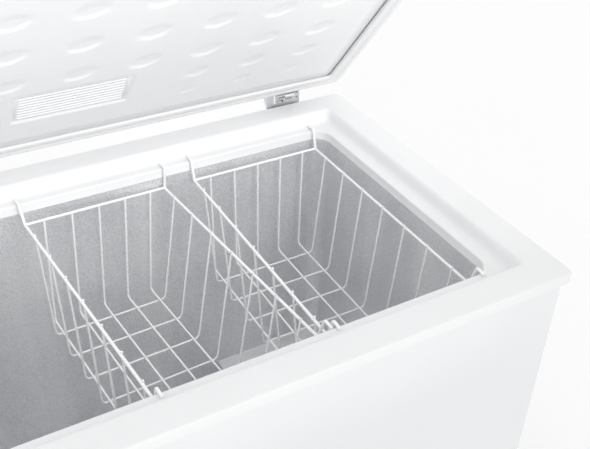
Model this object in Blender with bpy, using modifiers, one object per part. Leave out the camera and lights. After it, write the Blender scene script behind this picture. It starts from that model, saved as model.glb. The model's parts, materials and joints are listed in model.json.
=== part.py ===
"""A chest freezer with its lid held open, two wire baskets in it and its cooling machine at the right end.

Metres, +Z up, +X to the freezer's right, +Y to its back. Heights are from the floor.
"""

import math

import bmesh
import bpy
from mathutils import Matrix, Vector

# Overall
WIDTH = 1.026
DEPTH = 0.600
RIM_Z = 0.793
REAR_REACH = 0.0354  # the open hinge plates reach this far behind the collar
FRONT_Y = -(DEPTH + REAR_REACH) / 2
REAR_Y = FRONT_Y + DEPTH
RIGHT_X = WIDTH / 2
GAP = 0.0003

# Collar
COLLAR_T = 0.0025
SKIRT = 0.016
BAND = 0.0465
LEDGE_DROP = 0.020
WALL_INSET = 0.0756
WALL_T = 0.0015
WALL_FOOT = 0.036
MOUTH_CORNER = 0.0282

# Cabinet
SHELL_INSET = 0.008
SHEET = 0.0012
SHELL_CORNER = 0.006
INNER_EDGE = SHELL_INSET + SHEET + GAP
REAR_SEAM = RIGHT_X - 0.023
REAR_SHEET_Y = REAR_Y - SHELL_INSET
BASE_Z = 0.034
PLATE_T = 0.0015
UNDER_COLLAR = RIM_Z - COLLAR_T - 2 * GAP

# Liner and coils
LINER_INSET = 0.0738
LINER_T = 0.0012
LINER_FLOOR = 0.085
LINER_TOP = RIM_Z - LEDGE_DROP - COLLAR_T - 2 * GAP
LINER_CORNER = 0.030
HUMP_X = RIGHT_X - 0.290
HUMP_TOP = 0.307
EVAPORATOR = (0.0670, 0.034, 0.700, 0.085, 4)  # inset, corner radius, top, pitch, turns
EVAPORATOR_R = 0.0040
CONDENSER = (0.0125, 0.012, 0.680, 0.110, 3)
CONDENSER_R = 0.0025

# Machine bay at the right end
BAY_X = RIGHT_X - 0.2465
BAY_TOP = 0.262
GRILLE_LOW = (FRONT_Y + 0.150, 0.080)
GRILLE_HIGH = (FRONT_Y + 0.450, 0.230)
COVER_X = (RIGHT_X - 0.236, RIGHT_X - 0.030)
COVER_Z = (0.048, 0.252)
TRAY_Z = BASE_Z + PLATE_T + GAP
TRAY_T = 0.0025
COMPRESSOR = (RIGHT_X - 0.128, FRONT_Y + 0.400, 0.060)
DRIER = (BAY_X + 0.030, FRONT_Y + 0.530, 0.110)

# Control panel and drain
PANEL_X = (RIGHT_X - 0.230, RIGHT_X - 0.060)
PANEL_Z = (0.105, 0.175)
PANEL_MIDDLE = (PANEL_Z[0] + PANEL_Z[1]) / 2
PANEL_HOLE_LOW = (PANEL_X[0] + 0.006, FRONT_Y - 0.02, PANEL_Z[0] + 0.006)
PANEL_HOLE_HIGH = (PANEL_X[1] - 0.006, FRONT_Y + 0.02, PANEL_Z[1] - 0.006)
KNOB_X = PANEL_X[0] + 0.045
LENS_X = (KNOB_X + 0.055, KNOB_X + 0.085)
DRAIN_X = -RIGHT_X + 0.120
DRAIN_Z = LINER_FLOOR + 0.014
PIPE_R = 0.0110

# Lid, measured closed
LID_OPEN = math.radians(51.2)
AXIS_Y = FRONT_Y + 0.620
AXIS_Z = RIM_Z + 0.020
LID_FRONT = FRONT_Y - 0.0037
LID_REAR = FRONT_Y + 0.6023
LID_UNDER = RIM_Z + 0.0085
LID_TOP = RIM_Z + 0.0535
LID_CORNER = 0.012
PANEL_T = 0.0020
PLATEAU_Z = LID_UNDER - 0.010
PLATEAU_T = 0.0065
PLATEAU_SIDE = 0.072
PLATEAU_END = 0.064
HANDLE_HALF = 0.110

# Dimples: each row's distance from the lid's rear edge, and its size against a full dimple
DIMPLE_ROWS = (
    (0.121, 0.60),
    (0.178, 0.85),
    (0.243, 1.0),
    (0.319, 1.0),
    (0.395, 1.0),
    (0.462, 0.85),
    (0.513, 0.60),
)
DIMPLE_PITCH = 0.0920
DIMPLE_COLUMNS = 4
DIMPLE_SIZE = (0.0275, 0.0150, 0.0046)
DIMPLE_TILT = math.radians(-16.0)
LAMP_HALF = 0.0975
LAMP_BACK = 0.116
LAMP_FRONT = 0.214
LAMP_T = 0.010

# Hinges
HINGE_OUTER = 0.0796
HINGE_WIDTH = 0.0651
HINGE_T = 0.0018
HINGE_PLATE_Y = REAR_Y + 0.0031
HINGE_PLATE_TOP = RIM_Z + 0.0240
EAR_T = 0.002
EAR_INSET = 0.0042
PIN_R = 0.0035
BORE_R = 0.00358
PIN_SIDES = 24
BOSS_R = 0.0075
SPRING_R = 0.0056
SPRING_LENGTH = 0.040
SPRING_TURNS = 6
SPRING_STEPS = 8

# Baskets
BASKET_WIDTH = 0.2304
BASKET_DEPTH = 0.4204
BASKET_HEIGHT = 0.1944
BASKET_LEAN = 0.019
RIM_WIRE = 0.0023
GRID_WIRE = 0.0017
GRID_COUNT_ALONG = 7
GRID_COUNT_ACROSS = 5
HOOK_LANDING = 0.0157
FREE_HOOK = (0.0255, 0.0325)

WHITE = (0.86, 0.87, 0.88, 1.0)


def clear_scene():
    for obj in list(bpy.data.objects):
        bpy.data.objects.remove(obj, do_unlink=True)
    for mesh in list(bpy.data.meshes):
        bpy.data.meshes.remove(mesh)


def make_collection(name, hidden):
    made = bpy.data.collections.new(name)
    bpy.context.scene.collection.children.link(made)
    made.hide_render = hidden
    return made


clear_scene()
PARTS = make_collection("chest_freezer", False)
CUTTERS = make_collection("cutters", True)


def make_material(name, colour, roughness, metallic=0.0):
    made = bpy.data.materials.new(name)
    made.use_nodes = True
    shader = made.node_tree.nodes["Principled BSDF"]
    shader.inputs["Base Color"].default_value = colour
    shader.inputs["Roughness"].default_value = roughness
    shader.inputs["Metallic"].default_value = metallic
    return made


def painted_steel(name):
    return make_material(name, WHITE, 0.30)


def white_plastic(name):
    return make_material(name, (0.84, 0.85, 0.86, 1.0), 0.45)


def bare_steel(name):
    return make_material(name, (0.55, 0.56, 0.57, 1.0), 0.35, 1.0)


def embossed_aluminium(name):
    return make_material(name, (0.62, 0.63, 0.64, 1.0), 0.40, 1.0)


def foam(name):
    return make_material(name, (0.85, 0.78, 0.55, 1.0), 0.90)


def copper(name):
    return make_material(name, (0.72, 0.42, 0.28, 1.0), 0.30, 1.0)


def black_enamel(name):
    return make_material(name, (0.03, 0.03, 0.03, 1.0), 0.35)


def rubber(name):
    return make_material(name, (0.05, 0.05, 0.05, 1.0), 0.80)


def grey_plastic(name):
    return make_material(name, (0.30, 0.31, 0.32, 1.0), 0.50)


def vinyl(name):
    return make_material(name, (0.80, 0.81, 0.82, 1.0), 0.60)


def coated_wire(name):
    return make_material(name, (0.88, 0.89, 0.90, 1.0), 0.35)


def lens(name, colour):
    return make_material(name, colour, 0.20)


# Shape builders


def place_object(name, data, material, location=(0.0, 0.0, 0.0)):
    """Links the data as a part, or as a hidden cutter where it has no material."""
    obj = bpy.data.objects.new(name, data)
    obj.location = location
    if material is None:
        CUTTERS.objects.link(obj)
        obj.hide_render = True
        obj.display_type = "WIRE"
    else:
        data.materials.append(material)
        PARTS.objects.link(obj)
    return obj


def new_object(name, bm, material=None, pivot=(0.0, 0.0, 0.0)):
    """Makes an object of the world-space bmesh, with its origin at the pivot."""
    bmesh.ops.recalc_face_normals(bm, faces=bm.faces)
    bmesh.ops.translate(bm, vec=-Vector(pivot), verts=bm.verts)
    mesh = bpy.data.meshes.new(name)
    bm.to_mesh(mesh)
    bm.free()
    return place_object(name, mesh, material, pivot)


def add_box(bm, low, high):
    low = Vector(low)
    high = Vector(high)
    matrix = Matrix.Translation((low + high) / 2) @ Matrix.Diagonal((*(high - low), 1.0))
    return bmesh.ops.create_cube(bm, size=1.0, matrix=matrix)["verts"]


def box(name, low, high, material=None):
    bm = bmesh.new()
    add_box(bm, low, high)
    return new_object(name, bm, material)


def rounded_box(name, low, high, radius, material=None, segments=4):
    """A box with its upright edges rounded."""
    bm = bmesh.new()
    add_box(bm, low, high)
    upright = [e for e in bm.edges if abs(e.verts[0].co.z - e.verts[1].co.z) > 1e-6]
    bmesh.ops.bevel(bm, geom=upright, offset=radius, segments=segments, profile=0.5, affect="EDGES")
    return new_object(name, bm, material)


def cylinder(name, centre, axis, radius, length, material=None, sides=16, pivot=(0.0, 0.0, 0.0), top=None):
    """A closed cylinder along the axis, or a cone where its top has another radius."""
    turn = Vector((0.0, 0.0, 1.0)).rotation_difference(Vector(axis)).to_matrix().to_4x4()
    bm = bmesh.new()
    bmesh.ops.create_cone(
        bm,
        cap_ends=True,
        segments=sides,
        radius1=radius,
        radius2=radius if top is None else top,
        depth=length,
        matrix=Matrix.Translation(centre) @ turn,
    )
    return new_object(name, bm, material, pivot)


def curve_object(name, paths, flat=False):
    """A curve of straight runs through each path's points. A flat one holds a closed outline."""
    data = bpy.data.curves.new(name, "CURVE")
    data.dimensions = "2D" if flat else "3D"
    for points in paths:
        spline = data.splines.new("POLY")
        spline.points.add(len(points) - 1)
        spline.use_cyclic_u = flat
        for target, point in zip(spline.points, points):
            target.co = (*point, 1.0)
    obj = bpy.data.objects.new(name + "_curve", data)
    bpy.context.scene.collection.objects.link(obj)
    return obj


def curve_to_bmesh(obj):
    """The curve's evaluated surface with its caps welded. The curve is removed."""
    bpy.context.view_layer.update()
    graph = bpy.context.evaluated_depsgraph_get()
    mesh = bpy.data.meshes.new_from_object(obj.evaluated_get(graph))
    bm = bmesh.new()
    bm.from_mesh(mesh)
    bm.transform(obj.matrix_world)
    bmesh.ops.remove_doubles(bm, verts=bm.verts, dist=1e-6)
    bpy.data.objects.remove(obj, do_unlink=True)
    bpy.data.meshes.remove(mesh)
    return bm


def tube(name, path, radius, material=None, resolution=1):
    """A capped round tube along the path."""
    curve = curve_object(name, [path])
    curve.data.bevel_depth = radius
    curve.data.bevel_resolution = resolution
    curve.data.use_fill_caps = True
    return new_object(name, curve_to_bmesh(curve), material)


def wires(name, runs, place, material=None, pivot=(0.0, 0.0, 0.0)):
    """Round wires in one mesh, from (path, radius) runs moved to their place."""
    curve = curve_object(name, [[place @ point for point in path] for path, _ in runs])
    curve.data.bevel_depth = 1.0
    curve.data.bevel_resolution = 1
    curve.data.use_fill_caps = True
    for spline, (_, radius) in zip(curve.data.splines, runs):
        for point in spline.points:
            point.radius = radius
    return new_object(name, curve_to_bmesh(curve), material, pivot)


def flat_plate(name, outline, thickness, turn, centre, material):
    """A plate cut to a flat outline, turned and then moved to its centre."""
    curve = curve_object(name, [[(*point, 0.0) for point in outline]], True)
    curve.data.fill_mode = "BOTH"
    curve.data.extrude = thickness / 2
    curve.matrix_world = Matrix.Translation(centre) @ turn
    return new_object(name, curve_to_bmesh(curve), material)


def side_plate(name, outline, start, end, material=None):
    """A plate cut to an outline of (y, z) points, between two places along X."""
    turn = Matrix(((0.0, 0.0, 1.0), (1.0, 0.0, 0.0), (0.0, 1.0, 0.0))).to_4x4()
    return flat_plate(name, outline, abs(end - start), turn, ((start + end) / 2, 0.0, 0.0), material)


def front_plate(name, outline, start, end, material=None):
    """A plate cut to an outline of (x, z) points, between two places along Y."""
    turn = Matrix.Rotation(math.radians(90.0), 4, "X")
    return flat_plate(name, outline, abs(end - start), turn, (0.0, (start + end) / 2, 0.0), material)


def turned(name, centre, profile, material, steps=20):
    """A pot turned about a vertical axis from (radius, height) pairs, top to bottom."""
    bm = bmesh.new()
    verts = [bm.verts.new((radius, 0.0, height)) for radius, height in profile]
    for first, second in zip(verts, verts[1:]):
        bm.edges.new((first, second))
    mesh = bpy.data.meshes.new(name)
    bm.to_mesh(mesh)
    bm.free()
    obj = place_object(name, mesh, material, centre)
    screw = obj.modifiers.new("turn", "SCREW")
    screw.steps = steps
    screw.render_steps = steps
    screw.use_merge_vertices = True
    screw.merge_threshold = 0.0001
    return obj


def loft(name, loops, closed, material=None):
    """Skins loops of equal length in order. An open loft is capped, a closed one is a ring."""
    bm = bmesh.new()
    rings = [[bm.verts.new(point) for point in loop] for loop in loops]
    pairs = list(zip(rings, rings[1:]))
    if closed:
        pairs.append((rings[-1], rings[0]))
    for lower, upper in pairs:
        for i in range(len(lower)):
            j = (i + 1) % len(lower)
            bm.faces.new((lower[i], lower[j], upper[j], upper[i]))
    if not closed:
        bm.faces.new(rings[0])
        bm.faces.new(rings[-1])
    return new_object(name, bm, material)


def rounded_rectangle(low, high, z, radius, steps=4):
    """Points round a rectangle with round corners at height z."""
    corners = (
        (high[0] - radius, high[1] - radius, 0.0),
        (low[0] + radius, high[1] - radius, 90.0),
        (low[0] + radius, low[1] + radius, 180.0),
        (high[0] - radius, low[1] + radius, 270.0),
    )
    points = []
    for x, y, start in corners:
        for step in range(steps + 1):
            angle = math.radians(start + 90.0 * step / steps)
            points.append((x + radius * math.cos(angle), y + radius * math.sin(angle), z))
    return points


def collar_loop(inset, drop, radius):
    low = (-RIGHT_X + inset, FRONT_Y + inset)
    high = (RIGHT_X - inset, REAR_Y - inset)
    return rounded_rectangle(low, high, RIM_Z - drop, radius)


def lid_loop(inset_x, inset_y, z, radius):
    low = (-RIGHT_X + inset_x, LID_FRONT + inset_y)
    high = (RIGHT_X - inset_x, LID_REAR - inset_y)
    return rounded_rectangle(low, high, z, radius)


def bend(corner, before, after, radius, steps=1):
    """Points that round the corner of a wire path."""
    corner = Vector(corner)
    start = corner + (Vector(before) - corner).normalized() * radius
    end = corner + (Vector(after) - corner).normalized() * radius
    points = []
    for step in range(steps + 1):
        share = step / steps
        points.append(start.lerp(corner, share).lerp(corner.lerp(end, share), share))
    return points


def rounded_path(points, radius, steps=1):
    """The path with each inner corner rounded."""
    made = [Vector(points[0])]
    for before, corner, after in zip(points, points[1:], points[2:]):
        made += bend(corner, before, after, radius, steps)
    made.append(Vector(points[-1]))
    return made


def add_boolean(obj, other, operation):
    modifier = obj.modifiers.new(operation.lower(), "BOOLEAN")
    modifier.operation = operation
    modifier.solver = "EXACT"
    modifier.object = other
    return modifier


def cut(obj, cutter):
    add_boolean(obj, cutter, "DIFFERENCE")


def join(obj, other):
    add_boolean(obj, other, "UNION")


def add_bevel(obj, width):
    modifier = obj.modifiers.new("bevel", "BEVEL")
    modifier.width = width
    modifier.segments = 1
    modifier.limit_method = "ANGLE"


def smooth(obj, angle=35.0):
    obj.data.shade_smooth()
    obj.data.set_sharp_from_angle(angle=math.radians(angle))


# Cabinet


def shell_box(name, edge, bottom, top, material=None):
    """A box inside the collar's outline by the edge distance, with the cabinet's round corners."""
    low = (-RIGHT_X + edge, FRONT_Y + edge, bottom)
    high = (RIGHT_X - edge, REAR_Y - edge, top)
    return rounded_box(name, low, high, SHELL_CORNER + SHELL_INSET - edge, material, 3)


def liner_volume(name, grow, top, material=None):
    """The space inside the liner, grown outwards, without the step over the machine bay."""
    inset = LINER_INSET - grow
    low = (-RIGHT_X + inset, FRONT_Y + inset, LINER_FLOOR - grow)
    high = (RIGHT_X - inset, REAR_Y - inset, top)
    volume = rounded_box(name, low, high, LINER_CORNER + grow, material)
    step_low = (HUMP_X + grow, FRONT_Y, 0.0)
    step_high = (RIGHT_X, REAR_Y, HUMP_TOP - grow)
    cut(volume, box(name + "_step", step_low, step_high))
    return volume


def drain_cutter(name, radius):
    return cylinder(name, (DRAIN_X, FRONT_Y, DRAIN_Z), (0, 1, 0), radius, 0.4)


def build_outer_cabinet():
    """The painted sheet round the front and sides, folded in at the rear corners."""
    shell = shell_box("outer_cabinet", SHELL_INSET, BASE_Z, UNDER_COLLAR, painted_steel("cabinet_paint"))
    cut(shell, shell_box("shell_hollow", SHELL_INSET + SHEET, 0.0, 1.0))
    cut(shell, box("shell_back", (-REAR_SEAM, REAR_Y - 0.06, 0.0), (REAR_SEAM, REAR_Y, 1.0)))
    cut(shell, box("grille_hole", (RIGHT_X - 0.05, *GRILLE_LOW), (RIGHT_X + 0.05, *GRILLE_HIGH)))
    cut(shell, box("panel_hole", PANEL_HOLE_LOW, PANEL_HOLE_HIGH))
    cut(shell, drain_cutter("shell_drain", PIPE_R + 0.0005))
    smooth(shell)


def build_rear_panel():
    low = (-REAR_SEAM + GAP, REAR_SHEET_Y - SHEET, BASE_Z)
    high = (REAR_SEAM - GAP, REAR_SHEET_Y, UNDER_COLLAR)
    panel = box("rear_panel", low, high, bare_steel("rear_zinc"))
    hole_low = (COVER_X[0] + 0.010, REAR_Y - 0.03, COVER_Z[0] + 0.010)
    hole_high = (COVER_X[1] - 0.010, REAR_Y + 0.03, COVER_Z[1] - 0.010)
    cut(panel, box("cover_hole", hole_low, hole_high))


def build_bay_cover():
    """The slotted steel cover over the machine bay's rear opening."""
    low = (COVER_X[0], REAR_SHEET_Y + GAP, COVER_Z[0])
    high = (COVER_X[1], REAR_SHEET_Y + GAP + SHEET, COVER_Z[1])
    cover = box("bay_cover", low, high, bare_steel("cover_zinc"))
    bm = bmesh.new()
    for column in range(2):
        for row in range(6):
            x = COVER_X[0] + 0.026 + column * 0.090
            z = COVER_Z[0] + 0.040 + row * 0.022
            add_box(bm, (x, REAR_Y - 0.03, z), (x + 0.074, REAR_Y + 0.03, z + 0.008))
    cut(cover, new_object("cover_slots", bm))


def build_base_plate():
    plate = shell_box("base_plate", INNER_EDGE, BASE_Z, BASE_Z + PLATE_T, bare_steel("base_zinc"))
    bm = bmesh.new()
    for row in range(6):
        y = FRONT_Y + 0.10 + row * 0.045
        add_box(bm, (RIGHT_X - 0.200, y, 0.0), (RIGHT_X - 0.070, y + 0.012, 0.1))
    cut(plate, new_object("base_slots", bm))


def build_bay_housing():
    """The bent sheet between the foam and the machine bay."""
    bottom = BASE_Z + PLATE_T + GAP
    edge = INNER_EDGE + 0.0015
    right = RIGHT_X - edge
    outline = (
        (BAY_X, bottom),
        (BAY_X + PLATE_T, bottom),
        (BAY_X + PLATE_T, BAY_TOP - PLATE_T),
        (right, BAY_TOP - PLATE_T),
        (right, BAY_TOP),
        (BAY_X, BAY_TOP),
    )
    front_plate("bay_housing", outline, FRONT_Y + edge, REAR_Y - edge, bare_steel("bay_zinc"))


def build_top_frame():
    """The moulded collar: skirt, flat band, sloping step, hook ledge and a short wall inside the liner's edge."""
    grip = SHELL_INSET - GAP
    under = LEDGE_DROP + COLLAR_T
    sections = (
        (0.0, SKIRT, 0.010),
        (0.0, 0.0022, 0.010),
        (0.0006, 0.0006, 0.0095),
        (0.0022, 0.0, 0.009),
        (BAND - 0.001, 0.0, 0.009),
        (BAND + 0.0015, 0.0008, 0.009),
        (BAND + 0.0045, 0.0055, 0.010),
        (BAND + 0.0085, 0.0165, 0.012),
        (BAND + 0.0115, 0.0193, 0.014),
        (BAND + 0.0145, LEDGE_DROP, 0.016),
        (WALL_INSET - 0.003, LEDGE_DROP, MOUTH_CORNER + 0.003),
        (WALL_INSET - 0.0009, LEDGE_DROP + 0.0009, MOUTH_CORNER + 0.0009),
        (WALL_INSET, LEDGE_DROP + 0.003, MOUTH_CORNER),
        (WALL_INSET, WALL_FOOT, MOUTH_CORNER),
        (WALL_INSET - WALL_T, WALL_FOOT, MOUTH_CORNER + WALL_T),
        (WALL_INSET - WALL_T, under, MOUTH_CORNER + WALL_T),
        (BAND + 0.011, under, 0.014),
        (BAND + 0.005, LEDGE_DROP - 0.0005, 0.011),
        (BAND - 0.001, COLLAR_T, 0.009),
        (grip, COLLAR_T, 0.005),
        (grip, SKIRT, 0.005),
    )
    loops = [collar_loop(*section) for section in sections]
    frame = loft("top_frame", loops, True, white_plastic("collar_plastic"))
    smooth(frame, 50.0)


def build_inner_liner():
    liner = liner_volume("inner_liner", LINER_T, LINER_TOP, embossed_aluminium("liner_aluminium"))
    cut(liner, liner_volume("liner_hollow", 0.0, 1.0))
    cut(liner, drain_cutter("liner_drain", PIPE_R + 0.0005))
    smooth(liner)


def coil_path(inset, radius, top, pitch, turns):
    """A rectangular helix running down inside the cabinet's walls."""
    low = (-RIGHT_X + inset, FRONT_Y + inset)
    high = (RIGHT_X - inset, REAR_Y - inset)
    ring = rounded_rectangle(low, high, 0.0, radius, 3)
    path = []
    for i in range(len(ring) * turns):
        x, y, _ = ring[i % len(ring)]
        path.append((x, y, top - pitch * i / len(ring)))
    return path


def build_coils():
    """The evaporator against the liner and the condenser against the outer sheet."""
    evaporator = tube("evaporator_coil", coil_path(*EVAPORATOR), EVAPORATOR_R, copper("evaporator_tube"))
    condenser = tube("condenser_coil", coil_path(*CONDENSER), CONDENSER_R, bare_steel("condenser_tube"))
    smooth(evaporator, 65.0)
    smooth(condenser, 65.0)


def foam_cutters():
    """What is taken out of the foam: a rebate under the ledge, the bay, the coils' channels and the drain."""
    rebate = BAND - 0.004
    low = (-RIGHT_X + rebate, FRONT_Y + rebate, LINER_TOP)
    high = (RIGHT_X - rebate, REAR_Y - rebate, 1.0)
    return (
        rounded_box("foam_rebate", low, high, 0.008),
        box("foam_bay", (BAY_X - GAP, FRONT_Y, 0.0), (RIGHT_X, REAR_Y, BAY_TOP + GAP)),
        tube("evaporator_channel", coil_path(*EVAPORATOR), EVAPORATOR_R + 0.0026, None, 0),
        tube("condenser_channel", coil_path(*CONDENSER), CONDENSER_R + 0.0021, None, 0),
        drain_cutter("foam_drain", PIPE_R + 0.0008),
    )


def build_cabinet_foam():
    """The foam between the sheets: a base with the step on it, and a slab in each wall."""
    bottom = BASE_Z + PLATE_T + GAP
    inset = LINER_INSET - LINER_T - GAP
    side = RIGHT_X - inset
    front = FRONT_Y + inset
    rear = REAR_Y - inset
    floor = LINER_FLOOR - LINER_T - GAP
    wall = floor + GAP
    slabs = (
        ("foam_base", (-RIGHT_X, FRONT_Y, bottom), (RIGHT_X, REAR_Y, floor)),
        ("foam_left", (-RIGHT_X, FRONT_Y, wall), (-side, REAR_Y, UNDER_COLLAR)),
        ("foam_right", (side, FRONT_Y, wall), (RIGHT_X, REAR_Y, UNDER_COLLAR)),
        ("foam_front", (-side + GAP, FRONT_Y, wall), (side - GAP, front, UNDER_COLLAR)),
        ("foam_rear", (-side + GAP, rear, wall), (side - GAP, REAR_Y, UNDER_COLLAR)),
    )
    bounds = shell_box("foam_bounds", INNER_EDGE, 0.0, 1.0)
    cutters = foam_cutters()
    for name, low, high in slabs:
        slab = box(name, low, high, foam(name))
        add_boolean(slab, bounds, "INTERSECT")
        if name == "foam_base":
            step_high = (side - GAP, rear - GAP, HUMP_TOP - LINER_T - GAP)
            join(slab, box("foam_step", (HUMP_X + LINER_T + GAP, front + GAP, bottom + 0.01), step_high))
        for cutter in cutters:
            cut(slab, cutter)


def build_side_grille():
    """The louvred plastic grille in the right side."""
    low = (RIGHT_X - SHELL_INSET - 0.006, GRILLE_LOW[0] + GAP, GRILLE_LOW[1] + GAP)
    high = (RIGHT_X - SHELL_INSET + 0.001, GRILLE_HIGH[0] - GAP, GRILLE_HIGH[1] - GAP)
    grille = box("side_grille", low, high, grey_plastic("grille_plastic"))
    bm = bmesh.new()
    for row in range(8):
        z = GRILLE_LOW[1] + 0.014 + row * 0.016
        slot_low = (RIGHT_X - 0.05, GRILLE_LOW[0] + 0.012, z)
        add_box(bm, slot_low, (RIGHT_X + 0.05, GRILLE_HIGH[0] - 0.012, z + 0.009))
    cut(grille, new_object("grille_slots", bm))


def build_feet():
    height = BASE_Z - GAP
    for side, x in (("left", -RIGHT_X + 0.070), ("right", RIGHT_X - 0.045)):
        for end, y in (("front", FRONT_Y + 0.070), ("rear", REAR_Y - 0.070)):
            name = f"foot_{end}_{side}"
            centre = (x, y, height / 2)
            smooth(cylinder(name, centre, (0, 0, 1), 0.018, height, grey_plastic(name), top=0.024))


# Cooling machine


def build_compressor():
    """The hermetic compressor: a welded pot on its mounting bracket."""
    profile = (
        (0.0, 0.156),
        (0.012, 0.156),
        (0.038, 0.152),
        (0.062, 0.137),
        (0.073, 0.112),
        (0.075, 0.086),
        (0.080, 0.083),
        (0.080, 0.077),
        (0.075, 0.074),
        (0.074, 0.034),
        (0.068, 0.014),
        (0.050, 0.004),
        (0.0, 0.004),
    )
    pot = turned("compressor", COMPRESSOR, profile, black_enamel("compressor_enamel"))
    low = (COMPRESSOR[0] - 0.085, COMPRESSOR[1] - 0.090, COMPRESSOR[2])
    high = (COMPRESSOR[0] + 0.085, COMPRESSOR[1] + 0.090, COMPRESSOR[2] + 0.006)
    join(pot, box("compressor_bracket", low, high))


def build_compressor_mounts():
    bottom = TRAY_Z + TRAY_T + GAP
    top = COMPRESSOR[2] - GAP
    for index, (across, along) in enumerate(((-1, -1), (1, -1), (-1, 1), (1, 1)), 1):
        x = COMPRESSOR[0] + across * 0.070
        y = COMPRESSOR[1] + along * 0.075
        name = f"compressor_mount_{index}"
        smooth(cylinder(name, (x, y, (bottom + top) / 2), (0, 0, 1), 0.012, top - bottom, rubber(name), 12))


def build_compressor_tray():
    low = (COMPRESSOR[0] - 0.098, COMPRESSOR[1] - 0.105, TRAY_Z)
    high = (COMPRESSOR[0] + 0.098, COMPRESSOR[1] + 0.105, TRAY_Z + TRAY_T)
    box("compressor_tray", low, high, bare_steel("tray_zinc"))


def build_starter_cover():
    """The cover over the start relay, on the pot's front."""
    y = COMPRESSOR[1] - 0.082
    low = (COMPRESSOR[0] - 0.028, y - 0.034, COMPRESSOR[2] + 0.024)
    high = (COMPRESSOR[0] + 0.028, y, COMPRESSOR[2] + 0.074)
    cover = box("starter_cover", low, high, black_enamel("starter_plastic"))
    add_bevel(cover, 0.003)


def build_filter_drier():
    profile = ((0.0, 0.088), (0.003, 0.088), (0.010, 0.075), (0.010, 0.010), (0.004, 0.0), (0.0, 0.0))
    turned("filter_drier", DRIER, profile, copper("drier_copper"), 12)


def build_machine_tubes():
    """The suction tube from the bay wall to the pot, and the discharge tube from the pot to the drier."""
    x, y, z = COMPRESSOR
    wall = BAY_X + PLATE_T + GAP
    suction = (
        (wall, y - 0.13, 0.215),
        (x - 0.06, y - 0.13, 0.215),
        (x - 0.06, y - 0.13, z + 0.05),
        (x - 0.045, y - 0.0675, z + 0.05),
    )
    smooth(tube("suction_tube", rounded_path(suction, 0.014), 0.004, copper("suction_copper")), 65.0)
    discharge = (
        (x - 0.045, y + 0.0665, z + 0.045),
        (x - 0.066, y + 0.098, z + 0.045),
        (DRIER[0], DRIER[1], z + 0.022),
        (DRIER[0], DRIER[1], DRIER[2] - 0.0005),
    )
    smooth(tube("discharge_tube", rounded_path(discharge, 0.010), 0.0025, copper("discharge_copper")), 65.0)


def build_cord_gland():
    """The gland in the bay cover where the supply cord comes out."""
    y = REAR_SHEET_Y + 2 * GAP + SHEET + 0.003
    centre = (COVER_X[1] - 0.018, y, COVER_Z[0] + 0.020)
    gland = cylinder("cord_gland", centre, (0, 1, 0), 0.008, 0.006, black_enamel("gland_nylon"), 12)
    cut(gland, cylinder("gland_hole", centre, (0, 1, 0), 0.0035, 0.02, None, 12))
    smooth(gland)


# Controls and drain


def knob_point(distance):
    """A place on the knob's axis, this far behind the collar's front."""
    return (KNOB_X, FRONT_Y + distance, PANEL_MIDDLE)


def build_control_panel():
    """The tub set into the front sheet, with the knob's well and a hole for each lens."""
    front = FRONT_Y + SHELL_INSET - GAP
    low = (PANEL_X[0], front - 0.003, PANEL_Z[0])
    panel = box("control_panel", low, (PANEL_X[1], front, PANEL_Z[1]), grey_plastic("panel_plastic"))
    tub_low = (PANEL_HOLE_LOW[0] + GAP, front - 0.001, PANEL_HOLE_LOW[2] + GAP)
    tub_high = (PANEL_HOLE_HIGH[0] - GAP, FRONT_Y + 0.024, PANEL_HOLE_HIGH[2] - GAP)
    join(panel, box("panel_tub", tub_low, tub_high))
    cut(panel, cylinder("knob_well", knob_point(0.0), (0, 1, 0), 0.0185, 0.030, None, 24))
    cut(panel, cylinder("stem_bore", knob_point(0.0), (0, 1, 0), 0.0035, 0.100, None, 12))
    for x in LENS_X:
        hole = cylinder(f"lens_hole_{x:.3f}", (x, FRONT_Y, PANEL_MIDDLE), (0, 1, 0), 0.0035, 0.060, None, 12)
        cut(panel, hole)


def build_knob():
    """The thermostat knob, whose raised bar shows its setting, with its stem behind."""
    pivot = knob_point(0.0046)
    material = white_plastic("knob_plastic")
    knob = cylinder("thermostat_knob", knob_point(0.0085), (0, 1, 0), 0.018, 0.012, material, 20, pivot)
    bar_low = (KNOB_X - 0.002, FRONT_Y + 0.0006, PANEL_MIDDLE - 0.014)
    join(knob, box("knob_bar", bar_low, (KNOB_X + 0.002, FRONT_Y + 0.004, PANEL_MIDDLE + 0.014)))
    join(knob, cylinder("knob_stem", knob_point(0.021), (0, 1, 0), 0.003, 0.020, None, 12))
    smooth(knob)


def build_thermostat():
    """The thermostat body behind the panel."""
    low = (KNOB_X - 0.018, FRONT_Y + 0.0315, PANEL_MIDDLE - 0.014)
    high = (KNOB_X + 0.018, FRONT_Y + 0.056, PANEL_MIDDLE + 0.014)
    add_bevel(box("thermostat_body", low, high, bare_steel("thermostat_zinc")), 0.0015)


def build_lenses():
    colours = ((0.05, 0.65, 0.15, 1.0), (0.75, 0.05, 0.04, 1.0))
    for x, name, colour in zip(LENS_X, ("power_lens", "alarm_lens"), colours):
        centre = (x, FRONT_Y + 0.0095, PANEL_MIDDLE)
        smooth(cylinder(name, centre, (0, 1, 0), 0.0032, 0.012, lens(name, colour), 12))


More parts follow.
